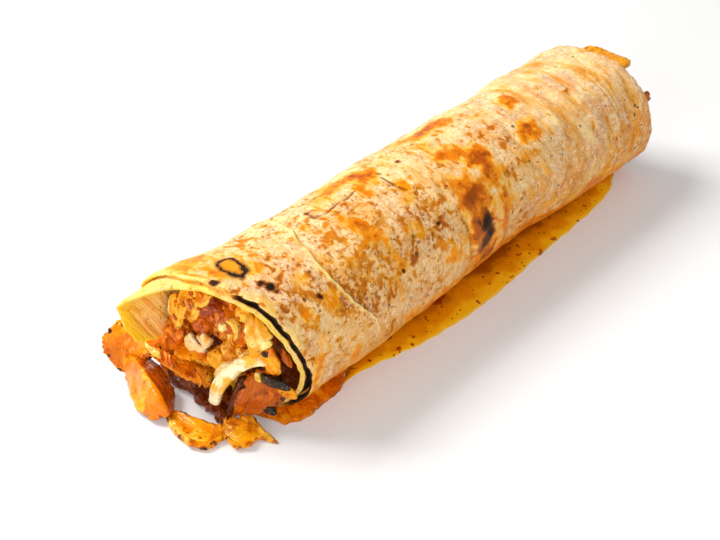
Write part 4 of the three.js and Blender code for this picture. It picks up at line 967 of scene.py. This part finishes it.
S, C = slice_part, lump_part
MEAT = [
    # shade_right paints shade on the inner side of this slice
    ("slice_left", ORANGE, "sauced_meat", [
        S([[[-122.5, 44, 21.5], [-114.6, 29.6, 17.0]], [[-130.6, 45.3, 17], [-117.4, 28.8, 13.6]], [[-132.1, 44.2, 11], [-121.0, 30.0, 10.4]], [[-130.8, 41.4, 6], [-126.4, 34, 7]], [[-129, 38, 1.6], [-126.8, 35.4, 1.6]]], 2.4, bulge=-1.5, seed=3, rough=0.2, jag=0.06, jag_size=1.4, rim_specks=0.7, shade_right=0.3)]),
    # shade_right paints shade on the concave right half of the fold
    ("slice_folded", ORANGE, "sauced_meat", [
        S([[[-126.5, 42.6, 6.5], [-126.0, 37.4, 10.2], [-119.5, 34.6, 6.5]], [[-130.6, 34.6, 2.2], [-129.4, 25.6, 11.6], [-120.9, 25.2, 4.5]], [[-134.7, 27.6, 1.8], [-131.6, 17, 10.4], [-123.9, 16.5, 3.5]], [[-137.3, 19.5, 1.8], [-133.2, 11.4, 8.2], [-127.2, 12.8, 2.8]], [[-136.4, 10.5, 1.8], [-132.6, 8.6, 4.0], [-129.6, 9.6, 2.2]]], 1.9, seed=5, rough=0.24, jag=0.05, jag_size=1.8, rim_specks=0.6, crease=True, shade_right=0.6, cover=0.12)]),
    ("slice_front", GOLD, "sauced_meat", [
        S([[[-129.0, 13.2, 2.6], [-132.4, 12.6, 2.2]], [[-128.6, 10.6, 2.4], [-133.0, 10.0, 1.8]], [[-127.4, 6.2, 2.6], [-135.6, 3.4, 1.8]], [[-126.2, 0.6, 2.8], [-136.2, -5.4, 1.8]], [[-124, -4.8, 2.8], [-132.8, -10.6, 1.8]], [[-122.4, -7.4, 2.6], [-127.6, -11.2, 1.8]], [[-121.2, -9.4, 2.6], [-125.0, -12.8, 2.0]]], 2.4, bulge=1.0, seed=8, rough=0.28, jag=0.07, rim_specks=0.6, wave=0.25)]),
    ("slice_frilled", GOLD, "sauced_meat", [
        S([[[-121.6, -4.6, 3.2], [-126, -12.2, 1.8]], [[-118.2, -8.4, 4], [-126, -18.2, 1.8]], [[-114, -12.2, 4.2], [-121.7, -21, 1.6]], [[-114.2, -17, 3.2], [-118.1, -20.4, 1.5]], [[-113.9, -24.6, 1.4], [-114.8, -25.3, 1.3]]], 1.7, bulge=0.6, seed=11, rough=0.26, jag=0.16, jag_size=1.5, wave=0.35, rim_specks=0.55, cover=0.08, deepen=0.12)]),
    ("strand", PALE, "pale_meat", [
        S([[[-106.5, -14, 30.6], [-107, -20.5, 28]], [[-111, -11, 30.1], [-112, -15.2, 27.7]], [[-114, -7.1, 27.5], [-115, -11.6, 25.2]], [[-117, -4.1, 23.3], [-118, -9.2, 21.4]], [[-119, -0.6, 15.5], [-120, -6.6, 16.2]], [[-119.5, 2.6, 5.6], [-120, -3.3, 7.6]]], 3.2, bulge=0.4, seed=13, rough=0.16, fibre=0.42, jag=0.06, rim_specks=0.1, cover=0.1),
        S([[[-109, -9.6, 30.9], [-110, -11.8, 29.4]], [[-113.4, -5.6, 28.1], [-115, -8.6, 26.4]], [[-116.4, -2.6, 24.3], [-117.6, -5, 22.8]], [[-117.6, 0.6, 18.6], [-118.6, -1.8, 18.2]]], 1.7, seed=14, rough=0.14, fibre=0.3, jag=0.06, cover=0.3)]),
    ("slice_large", (BROWN, GLAZE_AND_SHADE, CHARRED), "brown_meat", [
        S([[[-108.5, -7.4, 19.5], [-106, -14.2, 24]], [[-113.5, -7.6, 16], [-105.4, -21.4, 18.2]], [[-117.4, -8.4, 12], [-106, -20.5, 10.6]], [[-118.8, -7, 5.6], [-111, -14.6, 5]], [[-118.4, -7.4, 3.4], [-114.6, -10.2, 3]]], 3.4, bulge=-1.8, seed=17, rough=0.22, fibre=0.2, jag=0.05, rim_specks=0.9),
        also(1, S([[[-110.9, -7.0, 18.6], [-112.4, -9.2, 19.0]], [[-114.8, -6.8, 14.6], [-116.2, -8.8, 14.4]], [[-117.8, -7.2, 9.6], [-118.2, -9.0, 9.0]], [[-119.0, -6.6, 4.8], [-119.0, -8.2, 4.6]]], 1.8, seed=18, rough=0.3, jag=0.16, jag_size=1.3, pebble=0.5, rim_specks=0.3)),
        also(2, C((-108.8, -16.4, 6.8), (1.5, 3.0, 2.0), seed=35, rough=0.4, sub=5, pebble=0.4, cover=0.6))]),
    ("slice_ridged_low", (AMBER, CREAM, GOLD), "brown_meat", [
        S([[[-124, 29.2, 16.8], [-124, 28, 14.3]], [[-120, 27.3, 14.4], [-123, 21.1, 12.6]], [[-118, 21.5, 14], [-123, 12.5, 13]], [[-116, 14.7, 14.2], [-121.6, 5.6, 13.2]], [[-113, 6.4, 14], [-119.5, 0.6, 14.6]]], 2.0, seed=19, rough=0.28, fibre=0.1, jag=0.16, jag_size=1.2, ribs=0.55, rim_specks=0.25, pale_rim=0.5),
        also(2, S([[[-118.6, 9.4, 17.4], [-120.2, 7.4, 14.6]], [[-118, 6.4, 16.8], [-120.6, 4.0, 13.4]], [[-116.6, 4.6, 16.4], [-119.6, 0.9, 12.6]]], 1.5, seed=20, rough=0.3, jag=0.2, jag_size=1.1, ribs=0.5, rim_specks=0.3, pale_rim=0.4)),
        also(1, S([[[-123.2, 30.6, 18.6], [-123.8, 29.0, 16.4]], [[-122.4, 27.2, 17.0], [-123.6, 25.4, 14.8]], [[-121.6, 24.4, 16.0], [-122.6, 23.0, 14.2]]], 1.9, seed=21, rough=0.15, jag=0.06, rim_specks=0.0, cover=-0.6, pale_rim=0.6))]),
    ("slice_ridged_top", ORANGE, "sauced_meat", [
        S([[[-121.5, 18, 19.8], [-122.4, 13.6, 20.8]], [[-115.5, 18.6, 19.6], [-120.6, 9.2, 21.8]], [[-113, 12, 21.6], [-119.4, 3.6, 23]], [[-111, 6.2, 20.6], [-117, 1.4, 21.8]]], 2.0, seed=23, rough=0.26, fibre=0.12, jag=0.12, jag_size=1.2, ribs=0.2, rim_specks=0.3, pale_rim=0.3, cover=0.2)]),
    ("slice_jagged", (CREAM, ORANGE, CHARRED), "pale_meat", [
        S([[[-109.2, -10.4, 46.0], [-107.4, -12.6, 45.4]], [[-111, -10.6, 42.6], [-107.4, -15.6, 42.8]], [[-112, -10.4, 37.8], [-107.2, -18.4, 38.8]], [[-112.2, -12.4, 34.0], [-108.4, -16.8, 35.2]], [[-111.6, -12.2, 30.8], [-109.8, -14.4, 31.2]]], 1.7, bulge=0.9, seed=29, rough=0.34, jag=0.26, jag_size=1.7, rim_specks=0.15, wave=0.4, cover=0.22),
        also(1, S([[[-110.0, -13.2, 34.2], [-107.6, -18.2, 36.2]], [[-110.2, -15.0, 30.6], [-107.2, -20.4, 32.4]], [[-109.8, -16.8, 27.4], [-107.0, -21.8, 28.6]], [[-109.2, -18.4, 25.0], [-107.2, -21.4, 25.2]]], 1.5, bulge=0.5, seed=36, rough=0.3, jag=0.12, jag_size=1.4, rim_specks=0.2, pebble=0.12)),
        also(2, C((-109.6, -16.8, 33.0), (1.0, 1.6, 1.3), seed=38, rough=0.3, sub=4, pebble=0.3, cover=0.6))]),
    ("slice_charred", (CHARRED, ORANGE, CREAM), "brown_meat", [
        S([[[-111.6, -16.6, 25.2], [-112.4, -17.4, 22.4]], [[-110.2, -20.0, 25.2], [-111.4, -20.6, 21.6]], [[-107.8, -23.2, 23.6], [-109.2, -23.8, 20.4]], [[-106.4, -25.0, 21.8], [-107.4, -25.2, 19.8]]], 2.6, seed=31, rough=0.4, jag=0.12, pebble=0.5, rim_specks=0.4, cover=0.6),
        also(1, S([[[-107.4, -21.6, 22.0], [-109.4, -21.8, 18.6]], [[-105.8, -24.6, 19.8], [-107.8, -24.6, 16.4]], [[-104.6, -26.8, 17.4], [-105.6, -26.8, 15.8]]], 1.8, seed=32, rough=0.15, jag=0.06, cover=-0.4, rim_specks=0.0)),
        also(2, S([[[-111.4, -13.4, 23.8], [-111.8, -14.2, 20.6]], [[-111.6, -16.6, 24.8], [-112.2, -17.2, 21.8]]], 1.8, seed=33, rough=0.15, jag=0.06, cover=-0.6, rim_specks=0.0))]),
    ("slice_side", BROWN, "brown_meat", [
        S([[[-105, -19.6, 35], [-103, -21.4, 30.6]], [[-106, -21, 29.6], [-103.4, -23.4, 25.4]]], 2.2, seed=37, rough=0.3, jag=0.12, pebble=0.2)]),
    ("slice_mid", (AMBER, GOLD), "sauced_meat", [
        S([[[-112, 7, 22.6], [-116, 1.8, 20.6]], [[-111, -0.4, 29], [-115.4, -3.6, 26.4]], [[-110, -7, 32.8], [-113.4, -8, 30.4]]], 2.6, bulge=0.9, seed=41, rough=0.3, jag=0.14, jag_size=1.6, rim_specks=0.2, cover=-0.1),
        also(1, C((-115.4, 0.4, 22.8), (2.4, 4.6, 3.5), seed=42, rough=0.4, sub=5, pebble=0.25, turn=(30, 0, 0), cover=-0.3, deepen=-0.2)),
        also(1, C((-113.8, -4.2, 28.2), (2.3, 4.2, 3.0), seed=44, rough=0.5, sub=5, pebble=0.3, turn=(40, 0, 0)))]),
    # dark glazed lumps low in the mouth, their dark brown partly painted shade under the slices above
    ("slice_under", (GLAZE_AND_SHADE, BROWN), "sauced_meat", [
        S([[[-117.6, 24.6, 8], [-119.4, 25.6, 4]], [[-116, 17.2, 6.4], [-120.4, 17, 2.4]], [[-114.8, 9, 6.2], [-117.6, 10.6, 2.4]], [[-113.2, 0, 5.4], [-116.2, 1, 2.4]]], 1.6, seed=43, rough=0.2, jag=0.08, rim_specks=0.6),
        C((-114.6, 29.4, 6.4), (3.4, 4.6, 5.4), seed=55, rough=0.6, sub=5, pebble=0.4),
        C((-113.0, 12.0, 3.0), (3.0, 5.4, 2.8), seed=50, rough=0.6, sub=5, pebble=0.4),
        C((-112.0, 4.6, 3.2), (3.2, 5.4, 3.0), seed=51, rough=0.6, sub=5, pebble=0.4),
        C((-112.4, -2.6, 3.0), (2.8, 4.4, 2.8), seed=54, rough=0.6, sub=5, pebble=0.4),
        C((-117.8, 7.2, 2.0), (2.6, 3.8, 1.9), seed=56, rough=0.6, sub=5, pebble=0.4),
        also(1, C((-118.2, 27.4, 2.6), (2.2, 4.2, 2.6), seed=61, rough=0.5, sub=5, pebble=0.3)),
        C((-118.0, 20.6, 2.4), (2.2, 4.4, 2.3), seed=62, rough=0.6, sub=5, pebble=0.4),
        C((-117.2, 14.4, 2.2), (2.0, 3.6, 2.0), seed=63, rough=0.6, sub=5, pebble=0.4),
        C((-117.6, 1.6, 2.2), (3.2, 3.8, 2.1), seed=57, rough=0.6, sub=5, pebble=0.4),
        C((-118.4, -3.2, 2.0), (3.0, 3.4, 1.9), seed=58, rough=0.6, sub=5, pebble=0.4),
        also(1, C((-114.4, 6.6, 2.4), (1.6, 2.6, 1.8), seed=52, rough=0.4, sub=5, pebble=0.4))]),
    ("chunk_top", (SAUCE, GOLD, CREAM), "sauced_meat", [
        C((-110, 11.6, 41.6), (6, 9.6, 6.6), seed=2, turn=(20, 0, 0), rough=1.1, pebble=0.45, cover=0.3, deepen=0.25),
        also(1, S([[[-113.4, 23.4, 38.6], [-113.6, 15.0, 43.6]], [[-115.2, 23.6, 34.4], [-116.0, 14.6, 39.0]], [[-115.8, 22.8, 30.4], [-116.8, 15.2, 34.2]], [[-115.4, 21.0, 26.4], [-116.2, 17.8, 28.0]]], 1.7, bulge=0.8, seed=4, rough=0.3, jag=0.1, jag_size=1.8, pebble=0.12, cover=-0.3, deepen=-0.3, rim_specks=0.2)),
        also(1, S([[[-112.6, 9.6, 46.6], [-111.6, 4.0, 48.2]], [[-114.6, 12.2, 41.6], [-113.4, 6.8, 42.0]], [[-115.4, 13.8, 37.4], [-114.6, 10.2, 37.0]], [[-115.4, 13.6, 33.6], [-115.0, 12.2, 33.2]]], 1.9, bulge=0.9, seed=9, rough=0.4, jag=0.1, pebble=0.25, cover=0.1, rim_specks=0.2)),
        also(1, S([[[-114.0, 17.0, 45.2], [-113.0, 10.0, 47.6]], [[-116.0, 17.6, 41.2], [-114.6, 11.0, 42.8]], [[-117.0, 17.2, 37.8], [-115.8, 12.6, 38.2]], [[-117.2, 16.0, 34.4], [-116.6, 14.2, 34.6]]], 1.9, bulge=0.9, seed=19, rough=0.4, jag=0.14, jag_size=1.8, pebble=0.2, cover=-0.35, deepen=-0.3, rim_specks=0.1)),
        also(2, S([[[-113.6, 25.4, 37.2], [-113.0, 22.4, 38.6]], [[-114.4, 26.2, 32.4], [-114.6, 23.2, 33.0]], [[-114.2, 26.6, 27.6], [-114.6, 24.0, 27.6]]], 1.7, seed=10, rough=0.2, jag=0.08, cover=-0.5, rim_specks=0.0))]),
    ("chunk_brown", (SAUCE, CREAM), "brown_meat", [
        C((-113.4, 22.6, 20.6), (4.8, 5.2, 7.2), seed=5, turn=(14, 0, 0), rough=0.8, pebble=0.55, pebble_size=1.9),
        C((-114.6, 27.6, 15.4), (3.2, 3.6, 4.4), seed=15, turn=(20, 0, 0), rough=0.6, sub=5, pebble=0.5),
        also(1, S([[[-116.4, 31.6, 15.4], [-117.4, 29.4, 14.0]], [[-117.0, 31.0, 12.4], [-118.4, 28.6, 11.0]], [[-117.6, 30.2, 9.4], [-118.6, 28.8, 8.8]]], 1.6, seed=16, rough=0.2, jag=0.1, cover=-0.9, rim_specks=0.1))]),
    ("chunk_pale", PALE, "pale_meat", [
        S([[[-114.6, 16.8, 22.4], [-114.8, 13.6, 27.2]], [[-115.8, 14.4, 20.4], [-115.6, 10.2, 26.0]], [[-115.6, 11.4, 19.2], [-115.4, 6.8, 24.4]], [[-114.8, 9.2, 18.8], [-114.8, 6.2, 21.4]]], 3.2, bulge=0.8, seed=3, rough=0.45, fibre=0.26, jag=0.16, jag_size=1.8, rim_specks=0.1, wave=0.4, cover=0.2),
        S([[[-114.6, 10.8, 27.6], [-114.0, 8.4, 30.4]], [[-115.0, 7.8, 26.4], [-114.2, 5.6, 30.0]], [[-114.8, 5.8, 25.4], [-114.0, 3.2, 29.2]]], 2.6, bulge=0.5, seed=12, rough=0.3, fibre=0.2, jag=0.12, jag_size=1.4, cover=0.3, rim_specks=0.1)]),
    ("chunk_middle", (SAUCE, GOLD), "brown_meat", [
        C((-106.8, 1.4, 38.4), (6.2, 10.6, 8.2), seed=7, turn=(25, 0, 0), rough=1.1, pebble=0.6, pebble_size=2.0, deepen=0.2),
        C((-110.6, 12.4, 30.6), (4.0, 5.2, 4.4), seed=22, rough=0.8, sub=5, pebble=0.55, pebble_size=1.6),
        also(1, C((-110.8, 0.4, 33.4), (3.2, 4.4, 3.4), seed=24, rough=0.7, sub=5, pebble=0.4)),
        also(1, C((-107.4, -7.0, 43.6), (3.2, 4.0, 3.2), seed=26, rough=0.6, sub=5, pebble=0.3, cover=-0.4, deepen=-0.2))]),
    ("chunk_curl", CREAM, "pale_meat", [
        S(ring_stations((-112.6, -4.4, 38.4), 2.7, 3.6, 3.0, 70, 315, 12, 0.06), 1.9, seed=25, rough=0.2, jag=0.08, rim_specks=0.05, cover=-0.1, pale_rim=0.5),
        C((-113.0, -0.6, 37.0), (1.5, 1.7, 2.4), seed=27, rough=0.3, sub=5, pebble=0.2, cover=-0.3, deepen=-0.2)]),
    ("chunk_far", BROWN, "brown_meat", [
        C((103.4, 10, 33), (5.6, 8.4, 7.4), seed=6, rough=1.1, pebble=0.5)]),
    ("slice_far_top", GOLD, "sauced_meat", [
        S([[[96, 12, 48.5], [94, -12, 47.5]], [[104, 10.4, 49.8], [104, -12.6, 48.8]], [[110, 8, 50.6], [111.4, -12.8, 49.4]], [[113.4, 3, 49.8], [115.2, -9.6, 48.2]]], 4.4, bulge=1, seed=47, rough=0.3, jag=0.07, jag_size=3.0, rim_specks=0.1, cover=-0.15)]),
    ("slice_far_side", BROWN, "brown_meat", [
        S([[[100, -19, 37.5], [100, -21.5, 30.5]], [[108, -19.8, 37.4], [109, -22, 31.4]], [[116.8, -21.6, 38], [116.6, -23, 34.4]]], 2.6, bulge=0.6, seed=53, rough=0.3, jag=0.1)]),
    ("slice_far_low", AMBER, "sauced_meat", [
        S([[[98, 14, 20], [98, 0, 14]], [[105, 13, 20], [106, 1, 15]], [[110, 10, 19], [110.6, 3, 16]]], 3.0, bulge=1, seed=59, rough=0.4, jag=0.1)]),
]
made = {}
for name, mat, slot_name, parts in MEAT:
    made[name] = finish_piece(join_parts(name + "_meat", parts), mat, [name])


# ---------------------------------------------------------------------------
# Loose bits that lie on the filling: crumbs of meat, shreds and chilli flakes
# ---------------------------------------------------------------------------
def tree_of(obs):
    from mathutils.bvhtree import BVHTree
    verts, polys, base = [], [], 0
    for o in obs:
        me = o.data
        co = np.empty(len(me.vertices) * 3, np.float32)
        me.vertices.foreach_get("co", co)
        co = co.reshape(-1, 3) * 1000
        verts += [tuple(c) for c in co.tolist()]
        polys += [tuple(base + i for i in pl.vertices) for pl in me.polygons]
        base += len(co)
    return BVHTree.FromPolygons(verts, polys)


def frame_from(normal, spin):
    n = np.array(normal, float)
    n /= np.linalg.norm(n)
    a = np.cross(n, [0.3, 0.5, 0.81])
    a /= np.linalg.norm(a)
    b = np.cross(n, a)
    c, sn = math.cos(spin), math.sin(spin)
    return np.stack([a * c + b * sn, -a * sn + b * c, n])


def crumb(at, normal, size, r, sub=3, flat=0.6, long=1.0):
    v, f = icosphere(sub)
    sd = r.randint(0, 9999)
    k = 1 + 0.4 * fbm(v + sd, 0.9, 3, sd)
    p = v * k[:, None] * np.array([size * long, size, size * flat]) / 2
    m = frame_from(normal, r.uniform(0, 6.28))
    p = p @ m + np.array(at)
    p[:, 2] = np.maximum(p[:, 2], 0.05)
    tone = r.random()
    at4 = np.stack([np.full(len(v), 0.05), np.clip(tone + 0.3 * fbm(v + sd, 0.7, 2, sd), 0, 1), np.clip(0.5 + 0.4 * fbm(v + sd, 0.4, 2, sd + 1), 0, 1), np.full(len(v), 0.25)], -1)
    uv = np.stack([np.arctan2(v[:, 1], v[:, 0]) / (2 * math.pi) + 0.5, np.arcsin(np.clip(v[:, 2], -1, 1)) / math.pi + 0.5], -1)
    return dict(verts=p, faces=[f], meat=at4, uv=uv)


def shred(at, normal, length, width, r):
    m = frame_from(normal, r.uniform(0, 6.28))
    bend = r.uniform(-0.6, 0.6)
    st = []
    for k in range(5):
        t = k / 4 - 0.5
        c = np.array([t * length, bend * length * t * t * 1.6, 0.35 * width + 0.5 * width * math.cos(3 * t + r.random())])
        w = width * (0.35 + 0.65 * math.cos(math.pi * t * 0.85)) / 2
        st.append([((c + [0, -w, 0]) @ m + at).tolist(), ((c + [0, w, 0]) @ m + at).tolist()])
    return slice_part(st, width * 0.6, seed=r.randint(100, 9999), res=0.3, rough=0.12, fibre=0.12, jag=0.1, rim_specks=0.1, cover=r.uniform(-0.4, 0.4))


import random
rnd = random.Random(41)
mouth_tree = tree_of([made[k] for k in ("chunk_top", "chunk_brown", "chunk_middle", "chunk_curl", "slice_mid", "slice_ridged_low", "slice_ridged_top", "slice_under", "slice_side")] + [filling])
clean_tree = tree_of([made[k] for k in ("slice_jagged", "slice_large", "strand", "chunk_pale", "slice_charred")])


def on_filling(r, y, z, lean=-0.18):
    ray = (Vector((-150, y, z + 7)), Vector((1, 0, lean)).normalized())
    hit, bare = mouth_tree.ray_cast(*ray), clean_tree.ray_cast(*ray)
    if hit[0] is not None and bare[0] is not None and bare[3] < hit[3] + 0.4:
        return None
    return (np.array(hit[0]), np.array(hit[1])) if hit[0] is not None else None


crumbs, flakes, shreds = [], [], []
for _ in range(260):
    y, z = rnd.uniform(-24, 26), rnd.uniform(6, 50)
    hit = on_filling(rnd, y, z)
    if hit is None or hit[0][0] > -96 or hit[1][0] > 0.2:
        continue
    kind = rnd.random()
    if kind < 0.5:
        crumbs.append(crumb(hit[0] + hit[1] * 0.15, hit[1], rnd.uniform(0.7, 2.1), rnd, long=rnd.uniform(1, 1.7)))
    elif kind < 0.75:
        flakes.append(crumb(hit[0] + hit[1] * 0.08, hit[1], rnd.uniform(0.35, 0.8), rnd, sub=2, flat=0.35))
    elif len(shreds) < 9:
        shreds.append(shred(hit[0] + hit[1] * 0.1, hit[1], rnd.uniform(3.0, 5.5), rnd.uniform(0.9, 1.5), rnd))
far_tree = tree_of([made[k] for k in ("chunk_far", "slice_far_low")] + [filling])
for _ in range(230):
    y, z = rnd.uniform(-22, 24), rnd.uniform(6, 46)
    loc, normal, _, _ = far_tree.ray_cast(Vector((150, y, z + 6)), Vector((-1, 0, -0.15)).normalized())
    if loc is None or loc[0] < 88 or normal[0] < 0.2:
        continue
    at, kind = np.array(loc), rnd.random()
    if kind < 0.75:
        crumbs.append(crumb(at + np.array(normal) * 0.3, normal, rnd.uniform(1.2, 4.2), rnd, long=rnd.uniform(1, 1.8)))
    elif kind < 0.85:
        flakes.append(crumb(at, normal, rnd.uniform(0.4, 0.9), rnd, sub=2, flat=0.35))
    elif len(shreds) < 24:
        shreds.append(shred(at + np.array(normal) * 0.3, normal, rnd.uniform(4.5, 9), rnd.uniform(1.6, 2.8), rnd))
finish_piece(join_parts("meat_crumbs", crumbs), SAUCE, [])
finish_piece(join_parts("meat_shreds", shreds), AMBER, [])
finish_piece(join_parts("chilli_flakes", flakes), DEEP, [])


# ---------------------------------------------------------------------------
# Thin oily sauce that has run out along the right side
# ---------------------------------------------------------------------------
POOL = [(-80, 22.6), (-70, 23.3), (-61, 24.9), (-52, 26.5), (-42, 29.2), (-33, 30.3), (-21, 31.1), (-11, 31.5), (2, 31.5), (17, 30.3), (28, 29.3), (46, 28.7), (67, 27.9), (79, 26.8), (90, 25.4), (101, 22.4), (107, 19.4)]


def build_sauce():
    nx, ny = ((250, 30))
    x = np.linspace(-80, 107, nx)
    w = np.linspace(0, 1, ny)
    outer = table(POOL, x) + 0.35 * fbm(np.stack([x, 0 * x, 0 * x], -1), 6, 3, 80)
    inner = tail_at(x) - 1.2
    shut = np.sqrt(np.clip(1 - np.abs((x - 13.5) / 93.5) ** 10, 0, 1))
    outer = inner + (outer - inner) * shut
    Y = -(inner[:, None] + (outer - inner)[:, None] * w[None])
    X = np.broadcast_to(x[:, None], Y.shape)
    q = np.stack([X, Y, 0 * X], -1)
    bits = np.clip(fbm(q, 3.0, 3, 81) - 0.75, 0, 1)
    edge = np.minimum((outer - inner)[:, None] * (1 - w[None]), 99 + 0 * X)
    top = 0.06 + 0.36 * np.sqrt(smooth(-0.01, 1.6, edge)) + 0.05 * fbm(q, 7, 2, 82) + 0.9 * bits * smooth(0.5, 2.0, edge)
    front = np.stack([X, Y, np.maximum(top, 0.05)], -1)
    back = np.stack([X, Y, 0 * X], -1)
    verts, faces = closed_sheet(front, back)
    ob = make_object("thin_sauce", verts, [f[:, ::-1] for f in faces])
    deep = np.clip(1 - w[None] + 0.14 * fbm(q, 9, 3, 83), 0, 1) * np.ones_like(X)
    at = np.stack([deep, np.clip(bits * 4, 0, 1), np.clip(0.5 + 0.5 * fbm(q, 4, 3, 84), 0, 1), np.ones_like(X)], -1).reshape(-1, 4)
    paint(ob, "sauce", np.concatenate([at, at]))
    uvb = np.stack([(X + 80) / 190, (-Y) / 34 * 0.49], -1).reshape(-1, 2)
    set_uv(ob, np.concatenate([uvb, uvb + [0, 0.5]]))
    return ob


def sauce_material():
    m = Nodes("oily_sauce")
    deep, bits, cloud, _ = m.attr("sauce")
    n1, n2 = m.noise(150, 4, 0.6), m.noise(700, 3, 0.6)
    half = lambda v, k: m.math("MULTIPLY", m.math("SUBTRACT", v, 0.5), k)
    v = m.math("ADD", deep, m.math("ADD", half(n1, 0.35), half(cloud, 0.25)))
    base = m.mix(m.step(v, 0.05, 0.4), rgb(248, 184, 20), rgb(222, 142, 4))
    base = m.mix(m.step(v, 0.4, 0.95), base, rgb(150, 74, 2))
    base = m.mix(m.math("MULTIPLY", m.step(m.math("ADD", bits, half(n2, 0.5)), 0.15, 0.6), 0.9), base, rgb(138, 40, 2))
    vd = m.voronoi(330)
    fleck = m.step(m.math("ADD", vd, half(n1, 0.7)), 0.16, 0.09)
    base = m.mix(m.math("MULTIPLY", fleck, 0.85), base, rgb(96, 30, 4))
    m.put(m.bsdf.inputs["Base Color"], base)
    m.put(m.bsdf.inputs["Roughness"], m.math("ADD", 0.1, m.math("MULTIPLY", n1, 0.12)))
    m.bsdf.inputs["Specular IOR Level"].default_value = 0.4
    m.bsdf.inputs["Coat Weight"].default_value = 0.5
    m.bsdf.inputs["Coat Roughness"].default_value = 0.05
    m.bsdf.inputs["Subsurface Weight"].default_value = 0.3
    m.bsdf.inputs["Subsurface Radius"].default_value = (1.0, 0.5, 0.05)
    m.bsdf.inputs["Subsurface Scale"].default_value = 0.002
    m.put(m.bsdf.inputs["Normal"], m.bump(n1, 0.15, 0.0006))
    return m.mat


finish_piece(build_sauce(), sauce_material(), [])


# ---------------------------------------------------------------------------
# Stage: pale floor, soft studio light, camera
# ---------------------------------------------------------------------------
def build_floor():
    me = bpy.data.meshes.new("floor")
    s = 3.0
    me.from_pydata([(-s, -s, 0), (s, -s, 0), (s, s, 0), (-s, s, 0)], [], [(0, 1, 2, 3)])
    ob = bpy.data.objects.new("floor", me)
    bpy.context.scene.collection.objects.link(ob)
    m = Nodes("pale_floor")
    n = m.noise(6, 2)
    m.put(m.bsdf.inputs["Base Color"], m.mix(m.step(n, 0.3, 0.7), (0.80, 0.80, 0.802), (0.82, 0.82, 0.82)))
    m.bsdf.inputs["Roughness"].default_value = 0.6
    m.bsdf.inputs["Specular IOR Level"].default_value = 0.2
    me.materials.append(m.mat)
    return ob


build_floor()


def area(name, at, target, size, power, color=(1, 1, 1), size_y=None):
    d = bpy.data.lights.new(name, "AREA")
    d.energy = power
    d.color = color
    d.size = size
    if size_y:
        d.shape = "RECTANGLE"
        d.size_y = size_y
    o = bpy.data.objects.new(name, d)
    o.location = Vector(at)
    o.rotation_mode = "QUATERNION"
    o.rotation_quaternion = (Vector(target) - Vector(at)).to_track_quat("-Z", "Y")
    bpy.context.scene.collection.objects.link(o)
    return o


area("key", (-0.35, 0.85, 1.0), (0, 0, 0.02), 0.6, 20.4, (1.0, 0.99, 0.97))
area("front", (-0.95, -0.25, 0.42), (-0.11, 0, 0.02), 0.45, 2.2, (1.0, 0.99, 0.98))
glint = area("glint", (-0.9, -0.25, 0.46), (-0.11, 0, 0.02), 0.1, 1.5)
glint.data.use_shadow = False
spark = area("spark", (-0.75, 0.3, 0.8), (-0.1, 0, 0.02), 0.12, 2.2)
spark.data.use_shadow = False
area("low", (-0.62, -0.9, 0.13), (-0.12, 0.01, 0.03), 0.4, 1.9)
area("side", (0.7, -0.8, 0.8), (0, 0, 0.02), 0.9, 1.5)
world = bpy.data.worlds.new("studio")
world.use_nodes = True
world.node_tree.nodes["Background"].inputs[0].default_value = (1, 1, 1, 1)
world.node_tree.nodes["Background"].inputs[1].default_value = 0.36
bpy.context.scene.world = world

cam_data = bpy.data.cameras.new("camera")
cam_data.lens = 60
cam_data.sensor_width = 36
cam_data.clip_start, cam_data.clip_end = 0.01, 20
cam = bpy.data.objects.new("camera", cam_data)
cam.location = (-0.3032, -0.2380, 0.3007)
cam.rotation_mode = "QUATERNION"
cam.rotation_quaternion = (Vector((-0.0253, 0.0182, 0.0)) - cam.location).to_track_quat("-Z", "Y")
bpy.context.scene.collection.objects.link(cam)
bpy.context.scene.camera = cam
bpy.context.scene.view_settings.view_transform = "Standard"

bpy.context.view_layer.update()
